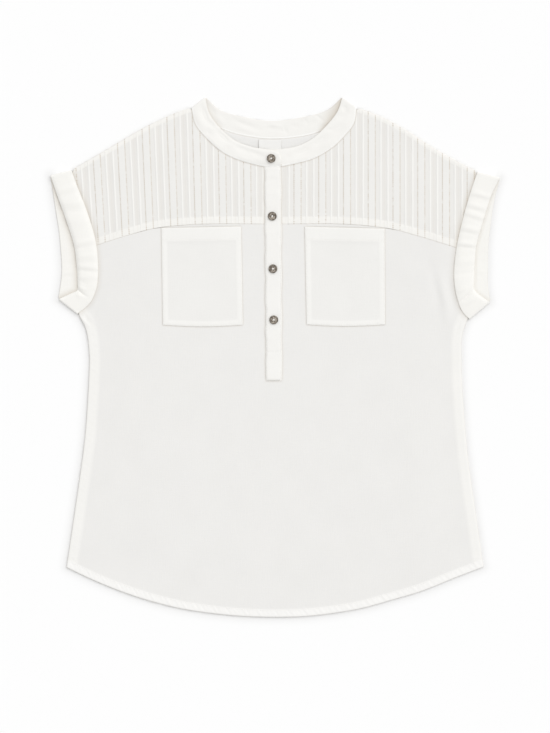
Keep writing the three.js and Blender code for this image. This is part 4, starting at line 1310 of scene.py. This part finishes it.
for side in ("right", "left"):
    rows = np.array(CUFF_FRONT[side])
    top_out = way_out(rows[0, :2], rows[0, 2:], (0, 120))
    bottom_out = way_out(rows[-1, :2], rows[-1, 2:], (OUTWARD[side] * 240, 150))

    def cuff_run(points):
        run = drawn_back(smooth(points, 4), top_out, cuff_room)
        return smooth(drawn_back(run[::-1], bottom_out, cuff_room)[::-1], 3)

    def cuff_height(x, y):
        height = front_floor(x, y) + over_body + PIN_RISE * cuff_climb(y)
        bulge = np.sin(math.pi * (0.15 + 0.7 * BAND_SHARES))
        for level, rise, half, slant in CUFF_CREASES[side]:
            lean = slant * (x - OUTWARD[side] * CUFF_MIDDLE)
            height = height + rise * bulge * hump(y - lean - level, half)
        return height + creases(CORNER_CREASES, x, y)

    def cuff_profile(run):
        along = np.sin(math.pi * np.linspace(0, 1, len(run))) ** 0.7
        climb = cuff_climb(run[:, 1])
        sewn_drop = SEWN_EDGE_DROP[side] + SEWN_EDGE_CLIMB * climb
        drop = np.outer(sewn_drop, 1 - ramp(BAND_SHARES / 0.2))
        drop = drop + MOUTH_DROP[side] * (1 - ramp((1 - BAND_SHARES) / 0.14))
        puff = CUFF_PUFF * np.sin(math.pi * BAND_SHARES) + CUFF_GAPE[side] * BAND_SHARES**1.5
        return along[:, None] * puff - along[:, None] ** 0.3 * drop

    body_run, mouth_run = cuff_run(rows[:, :2]), cuff_run(rows[:, 2:])
    front = across(body_run, mouth_run, cuff_height, cuff_profile(body_run))
    shaded_by([lower_front, *yokes.values()], np.vstack([body_run, mouth_run[::-1]]), 9.0)
    back_runs = cuff_run(CUFF_BACK_BODY[side]), cuff_run(SLEEVE_MOUTH[side])
    behind = across(*back_runs, lambda x, y: np.full(x.shape, back_level))
    lines = np.concatenate([
        front,
        turned_over(front[-1], behind[-1], bottom_out),
        behind[::-1],
        turned_over(front[0], behind[0], top_out)[::-1],
    ])
    in_front = np.clip((lines[:, MIDDLE, 2] - back_level) / (FRONT_FLOOR + over_body - back_level), 0, 1)
    depths = CLOTH + (BAND - CLOTH) * in_front
    gx, gy = lines[..., 0], lines[..., 1]
    mouth_away = np.minimum(BAND_SHARES, 1 - BAND_SHARES)
    puckers = 0.08 * np.sin(gy / 1.9 + gx / 4) * hump(mouth_away, 0.14)
    puckers *= in_front[:, None] > 0.9
    puckers += creases(BACK_CUFF_CREASES, gx, gy) * (in_front[:, None] < 0.01)
    cuff, _ = band_shell("cuff_cloth_" + side, lines, depths, True, puckers)
    cuff_flat = (length_of(np.vstack([lines[:, MIDDLE], lines[:1, MIDDLE]])) * MM, CUFF_WIDTH * MM)
    sewn(cuff, "cuff_" + side, CUFF_WHITE, cuff_flat)
    # painted warm shade on the back of the cuff inside the sleeve opening, deepest by the front's mouth edge
    behind_mark = np.minimum(1, np.abs(lines[:, MIDDLE, 2] - back_level) * 4)
    inner = np.maximum(from_edge(mouth_run, gx, gy) / CUFF_SHADE_REACH[side], CUFF_SHADE_LEAST[side])
    covered(cuff, np.where(behind_mark[:, None] < 0.2, inner, FAR))

# The patch pockets
# One layer of voile each, with a deep hem at the mouth, turned in and topstitched on the other
# three sides. The mouth stands a little open.
POCKET_CORNERS = {
    "right": [(-151, 171.2), (-45, 173.4), (-42.8, 42.5), (-149, 42.5)],
    "left": [(39, 173), (145, 170.4), (145.7, 43), (41.4, 43)],
}
POCKET_HEM = 17
POCKET_HEM_RISE = 0.3
POCKET_CLOTH = 0.7
POCKET_TURN = 6.6
MOUTH_LIFT = 0.9
MOUTH_REACH = 26
BOTTOM_BOW = 2.2
POCKET_CREASES = [
    (-140, 150, -96, 128, 7, 0.16, 3),
    (-60, 150, -84, 70, 9, 0.14, -4),
    (-128, 96, -100, 52, 8, 0.13, 2),
    (54, 152, 96, 134, 7, 0.16, -3),
    (132, 140, 112, 66, 9, 0.14, 4),
    (60, 104, 84, 54, 8, 0.13, -2),
]


def pocket_size(side):
    """A pocket's width and depth."""
    corners = POCKET_CORNERS[side]
    return corners[1][0] - corners[0][0], corners[0][1] - corners[3][1]


def pocket_top(side, across_share, down, x, y):
    """Height of a pocket's upper side over the table, and how far its mouth stands up."""
    mouth = MOUTH_LIFT * np.sin(math.pi * across_share) * ramp(1 - down / MOUTH_REACH)
    hem = POCKET_HEM_RISE * step_up(POCKET_HEM + 2 - down, 5)
    width, depth = pocket_size(side)
    from_side = np.minimum(across_share, 1 - across_share) * width
    from_rim = np.minimum(from_side, depth - down)
    turned = 0.18 * step_up(POCKET_TURN - from_rim, 1.4)
    groove = 0.2 * hump(from_rim - STITCH_IN, 0.5) + 0.08 * hump(down - POCKET_HEM + 1, 0.5)
    waves = 0.09 * np.sin((x + 1.3 * y) / 2.2 + np.sin(y / 11)) * hump(from_rim, 5)
    hem_waves = slanting_puckers(1.2 * x, np.abs(down - POCKET_HEM + 9), 14)
    rise = np.maximum(hem, turned) + waves + 0.45 * hem_waves + creases(POCKET_CREASES, x, y)
    return front_floor(x, y) + CLOTH + GAP + POCKET_CLOTH + mouth + rise - groove, mouth


def pocket_place(side, share, down):
    """The place on the table of a point that is a share across a pocket and some mm down it."""
    (ax, ay), (bx, by), (cx, cy), (dx, dy) = POCKET_CORNERS[side]
    way = down / (ay - dy)
    x = (ax + (bx - ax) * share) * (1 - way) + (dx + (cx - dx) * share) * way
    y = (ay + (by - ay) * share) * (1 - way) + (dy + (cy - dy) * share) * way
    return x, y - BOTTOM_BOW * np.sin(math.pi * share) * way


def pocket_colour(shade):
    """The pockets' white, a little brighter where they are turned in."""
    return shade.mix(shade.mark("turned").over(-0.6, 2.0), seen(241, 240, 237), seen(246, 245, 241.7))


POCKET_WHITE = cloth_finish("pocket_voile", pocket_colour)
for side in ("right", "left"):
    width, depth = pocket_size(side)
    rim = np.array([0, 0.35, 0.75, 1.1, 1.5, 1.9, 2.7, 3.8, 5.6, 6.9])
    shares = np.concatenate([rim, np.arange(9.2, width - 8, 2.3), (width - rim)[::-1]]) / width
    downs = np.concatenate([
        rim[:7], np.arange(4.5, 15, 2), [15.2, 15.8, 16.3, 16.9, 17.6, 18.4],
        np.arange(20.4, depth - 9, 2.4), (depth - rim)[::-1],
    ])
    down, share = np.meshgrid(downs, shares, indexing="ij")
    x, y = pocket_place(side, share, down)
    over, mouth = pocket_top(side, share, down, x, y)
    under = front_floor(x, y) + CLOTH + GAP + mouth + 0.1
    from_rim = np.minimum(np.minimum(share, 1 - share) * width, depth - down)
    turned = np.maximum(POCKET_TURN - from_rim, POCKET_HEM - down)
    pocket = strip("patch_pocket_" + side, x, y, over, under, 0.8, 1.7, 0.35, {"turned": turned.ravel()})
    shaded_by([lower_front], border_of(x, y), 3.0)
    sewn(pocket, "pocket_" + side, POCKET_WHITE, (width * MM, depth * MM))
    track = np.linspace(3, depth - STITCH_IN, 80)
    base = np.linspace(STITCH_IN, width - STITCH_IN, 60) / width
    pocket_runs = []
    for run_share, run_down in (
        (np.full(80, STITCH_IN / width), track),
        (np.full(80, 1 - STITCH_IN / width), track),
        (base, np.full(60, depth - STITCH_IN)),
        (base, np.full(60, POCKET_HEM - 1.0)),
    ):
        px, py = pocket_place(side, run_share, run_down)
        pocket_runs.append(np.stack([px, py, pocket_top(side, run_share, run_down, px, py)[0]], axis=1))
    sewn_lines("pocket_stitches_" + side, pocket_runs, THREAD_WHITE)

# The label
# A plain satin ribbon, caught in the back neck seam. It runs down behind the neckband's front.
LABEL_LIFT = 1.2
LABEL_LIFT_Y = 276
LABEL_WIDTH = 29.8
label_low, label_high = (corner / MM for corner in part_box("label"))
RIBBON_WHITE = cloth_finish("ribbon_satin", lambda shade: seen(241.5, 240.5, 238), roughness=0.5, edge_shade_reach=0.5)
lx = np.concatenate([[0, 0.4, 0.9], np.linspace(1.8, 27.8, 18), [28.9, 29.4, LABEL_WIDTH]])
lx = label_low.x + lx / LABEL_WIDTH * (label_high.x - label_low.x)
y, x = np.meshgrid(np.linspace(label_high.y, label_low.y, 24), lx, indexing="ij")
from_middle = (x - label_low.x - LABEL_WIDTH / 2) / (LABEL_WIDTH / 2)
curl = 0.25 * from_middle**4 + 0.12 * np.sin((y - label_low.y) / 5)
lifted_side = np.clip(-from_middle, 0, 1) ** 5
curl += LABEL_LIFT * lifted_side * ramp((y - LABEL_LIFT_Y) / 10) * ramp((label_high.y - y) / 12)
label = strip("neck_ribbon", x, y, label_high.z - 0.1 + curl, label_high.z - 0.65 + curl)
ribbon_size = tuple((label_high - label_low)[axis] * MM for axis in (0, 1))
sewn(label, "label", RIBBON_WHITE, ribbon_size)

# The buttons
# Four round buttons of aged metal, with a raised rim and a dished face, sewn on through the
# middle with white thread.
BUTTON_PROFILE = [
    # radius, height
    (0.0, 0.0), (4.7, 0.0), (5.4, 0.25), (5.75, 0.8), (5.8, 1.25), (5.62, 1.75), (5.25, 2.08), (4.85, 2.2),
    (4.45, 2.12), (4.15, 1.8), (3.9, 1.58), (3.5, 1.5), (3.1, 1.56), (2.7, 1.62), (2.2, 1.55), (1.8, 1.38),
    (1.4, 1.32), (0.7, 1.34), (0.0, 1.36),
]
BUTTON_SEGMENTS = 64
KNOT_RADIUS = 1.2
KNOT_RINGS = 5
KNOT_FOOT = 1.25
KNOT_RISE = 0.5
KNOT_SEGMENTS = BUTTON_SEGMENTS // 4


def aged_metal():
    """Dark metal, worn bright in blotches and faint rings, with a darker rim."""
    material, shade = new_material("aged_metal")
    place = shade.place()
    blotches = shade.stretched_noise(place, (470, 470, 470), 3.0)
    fine = shade.stretched_noise(place, (2600, 2600, 2600), 2.0)
    radius = shade.mark("radius")
    rings = shade.math("SINE", radius * 4.6) * 0.5 + 0.5
    rim = (radius - 5.2).within(0.75, 0.5)
    worn = blotches.over(0.5, 0.16) * 0.7 + rings * 0.18 + fine * 0.12
    colour = shade.mix(worn, seen(74, 64, 54), seen(186, 177, 165))
    colour = shade.mix(rim * 0.35, colour, seen(92, 81, 69))
    shade.surface({
        "Base Color": colour,
        "Roughness": 0.42 + 0.2 * fine,
        "Metallic": 0.55,
        "Normal": shade.bump(0.5, 0.3 * MM, blotches * 0.6 + fine * 0.3),
    })
    return material


AGED_METAL = aged_metal()
for number in range(1, 5):
    low, high = (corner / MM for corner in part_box(f"button_{number}"))
    middle = np.array([(low.x + high.x) / 2, (low.y + high.y) / 2, low.z])
    turns = np.linspace(0, 2 * math.pi, BUTTON_SEGMENTS, endpoint=False)
    points = [middle + (0, 0, BUTTON_PROFILE[0][1])]
    radii = [0.0]
    for radius, height in BUTTON_PROFILE[1:-1]:
        points += [middle + (radius * math.cos(a), radius * math.sin(a), height) for a in turns]
        radii += [radius] * BUTTON_SEGMENTS
    points.append(middle + (0, 0, BUTTON_PROFILE[-1][1]))
    radii.append(0.0)
    rings = len(BUTTON_PROFILE) - 2
    last = 1 + (rings - 1) * BUTTON_SEGMENTS
    faces = tube_faces(1, rings, BUTTON_SEGMENTS)
    for i in range(BUTTON_SEGMENTS):
        after = (i + 1) % BUTTON_SEGMENTS
        faces.append((0, 1 + after, 1 + i))
        faces.append((last + i, last + after, len(points) - 1))
    button = new_piece(f"metal_button_{number}", points, faces, {"radius": radii})
    button.data.materials.append(AGED_METAL)
    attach(button, "root")
    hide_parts(f"button_{number}")

    knot_points = []
    for ring in range(KNOT_RINGS + 1):
        angle = math.pi / 2 * ring / KNOT_RINGS
        for a in turns[::BUTTON_SEGMENTS // KNOT_SEGMENTS]:
            swell = KNOT_RADIUS * (1 + 0.12 * math.sin(3 * a + number))
            knot_points.append(middle + (
                swell * math.cos(angle) * math.cos(a) + 1e-3 * math.cos(a),
                swell * math.cos(angle) * math.sin(a) + 1e-3 * math.sin(a),
                KNOT_FOOT + KNOT_RISE * math.sin(angle),
            ))
    knot_faces = tube_faces(0, KNOT_RINGS + 1, KNOT_SEGMENTS)
    knot_faces.append(tuple(range(KNOT_SEGMENTS))[::-1])
    knot_faces.append(tuple(range(KNOT_RINGS * KNOT_SEGMENTS, (KNOT_RINGS + 1) * KNOT_SEGMENTS)))
    knot = new_piece(f"button_thread_{number}", knot_points, knot_faces, {})
    knot.data.materials.append(THREAD_WHITE)
    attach(knot, "root")

# The table, the light and the camera
# A plain white surface with a painted soft shadow round the blouse, under soft studio light, seen straight
# down from well above, as in the photo.
TABLE_SIZE = 12.0
TABLE_LEVEL = -0.3
TABLE_STEP = 5.0
TABLE_WHITE = (0.95, 0.95, 0.95, 1)
TABLE_SHADED = (0.83, 0.827, 0.823, 1)
# how far the painted shadow reaches from each of LAID_EDGES, from the right shoulder round to the neck
TABLE_SHADE_REACH = (4, 15, 15, 13, 4, 3)
# half the width and height of the part of the table that is fine enough for the shade
TABLE_FINE = (340, 390)
ROOM_LIGHT = 0.69
WINDOW_LIGHT = 1.36
WINDOW_SPREAD = 60
WINDOW_WAY = (-0.45, -0.55, -1.0)
PIXEL_WIDTH, PIXEL_HEIGHT = 550, 733
MM_PER_PIXEL = 1.326
PIXEL_X_AT_ORIGIN, PIXEL_Y_AT_ORIGIN = 275.15, 357.2
CAMERA_HEIGHT = 5.0
SENSOR = 36.0

reach_out = TABLE_SIZE / 2 / MM
tx, ty = (
    np.concatenate([[-reach_out], np.arange(-half, half + 1, TABLE_STEP), [reach_out]])
    for half in TABLE_FINE
)
ty, tx = np.meshgrid(ty, tx, indexing="ij")
table_points = np.stack([tx, ty, np.full(tx.shape, TABLE_LEVEL)], axis=-1).reshape(-1, 3)
# painted soft shadow of the blouse on the table, darkest at its edges and fading outward
table_cover = [from_edge(run, tx, ty) / reach for run, reach in zip(LAID_EDGES, TABLE_SHADE_REACH)]
table_marks = {"cover": np.min(table_cover, axis=0).ravel()}
table = new_piece("table", table_points, grid_faces(*tx.shape).tolist(), table_marks)
table_finish, table_shade = new_material("table_white")
by_cloth = table_shade.math("SUBTRACT", 1, table_shade.mark("cover"), clamp=True)
table_shade.surface({
    "Base Color": table_shade.mix(by_cloth * by_cloth, TABLE_WHITE, TABLE_SHADED),
    "Roughness": 0.9,
    "Specular IOR Level": 0.1,
})
table.data.materials.append(table_finish)

world = bpy.data.worlds.new("studio")
bpy.context.scene.world = world
world.use_nodes = True
world.node_tree.nodes["Background"].inputs["Color"].default_value = (1.0, 1.0, 1.0, 1.0)
world.node_tree.nodes["Background"].inputs["Strength"].default_value = ROOM_LIGHT

lamp = bpy.data.lights.new("window_light", "SUN")
lamp.energy = WINDOW_LIGHT
lamp.angle = math.radians(WINDOW_SPREAD)
light = bpy.data.objects.new("window_light", lamp)
light.rotation_euler = Vector(WINDOW_WAY).to_track_quat("-Z", "Y").to_euler()
bpy.context.scene.collection.objects.link(light)

camera_data = bpy.data.cameras.new("overhead")
camera_data.sensor_width = SENSOR
camera_data.lens = SENSOR * CAMERA_HEIGHT / (PIXEL_HEIGHT * MM_PER_PIXEL * MM)
camera_data.clip_end = 50
camera = bpy.data.objects.new("overhead", camera_data)
camera.location = (
    (PIXEL_WIDTH / 2 - PIXEL_X_AT_ORIGIN) * MM_PER_PIXEL * MM,
    (PIXEL_Y_AT_ORIGIN - PIXEL_HEIGHT / 2) * MM_PER_PIXEL * MM,
    CAMERA_HEIGHT,
)
bpy.context.scene.collection.objects.link(camera)
bpy.context.scene.camera = camera
bpy.context.scene.view_settings.view_transform = "Standard"
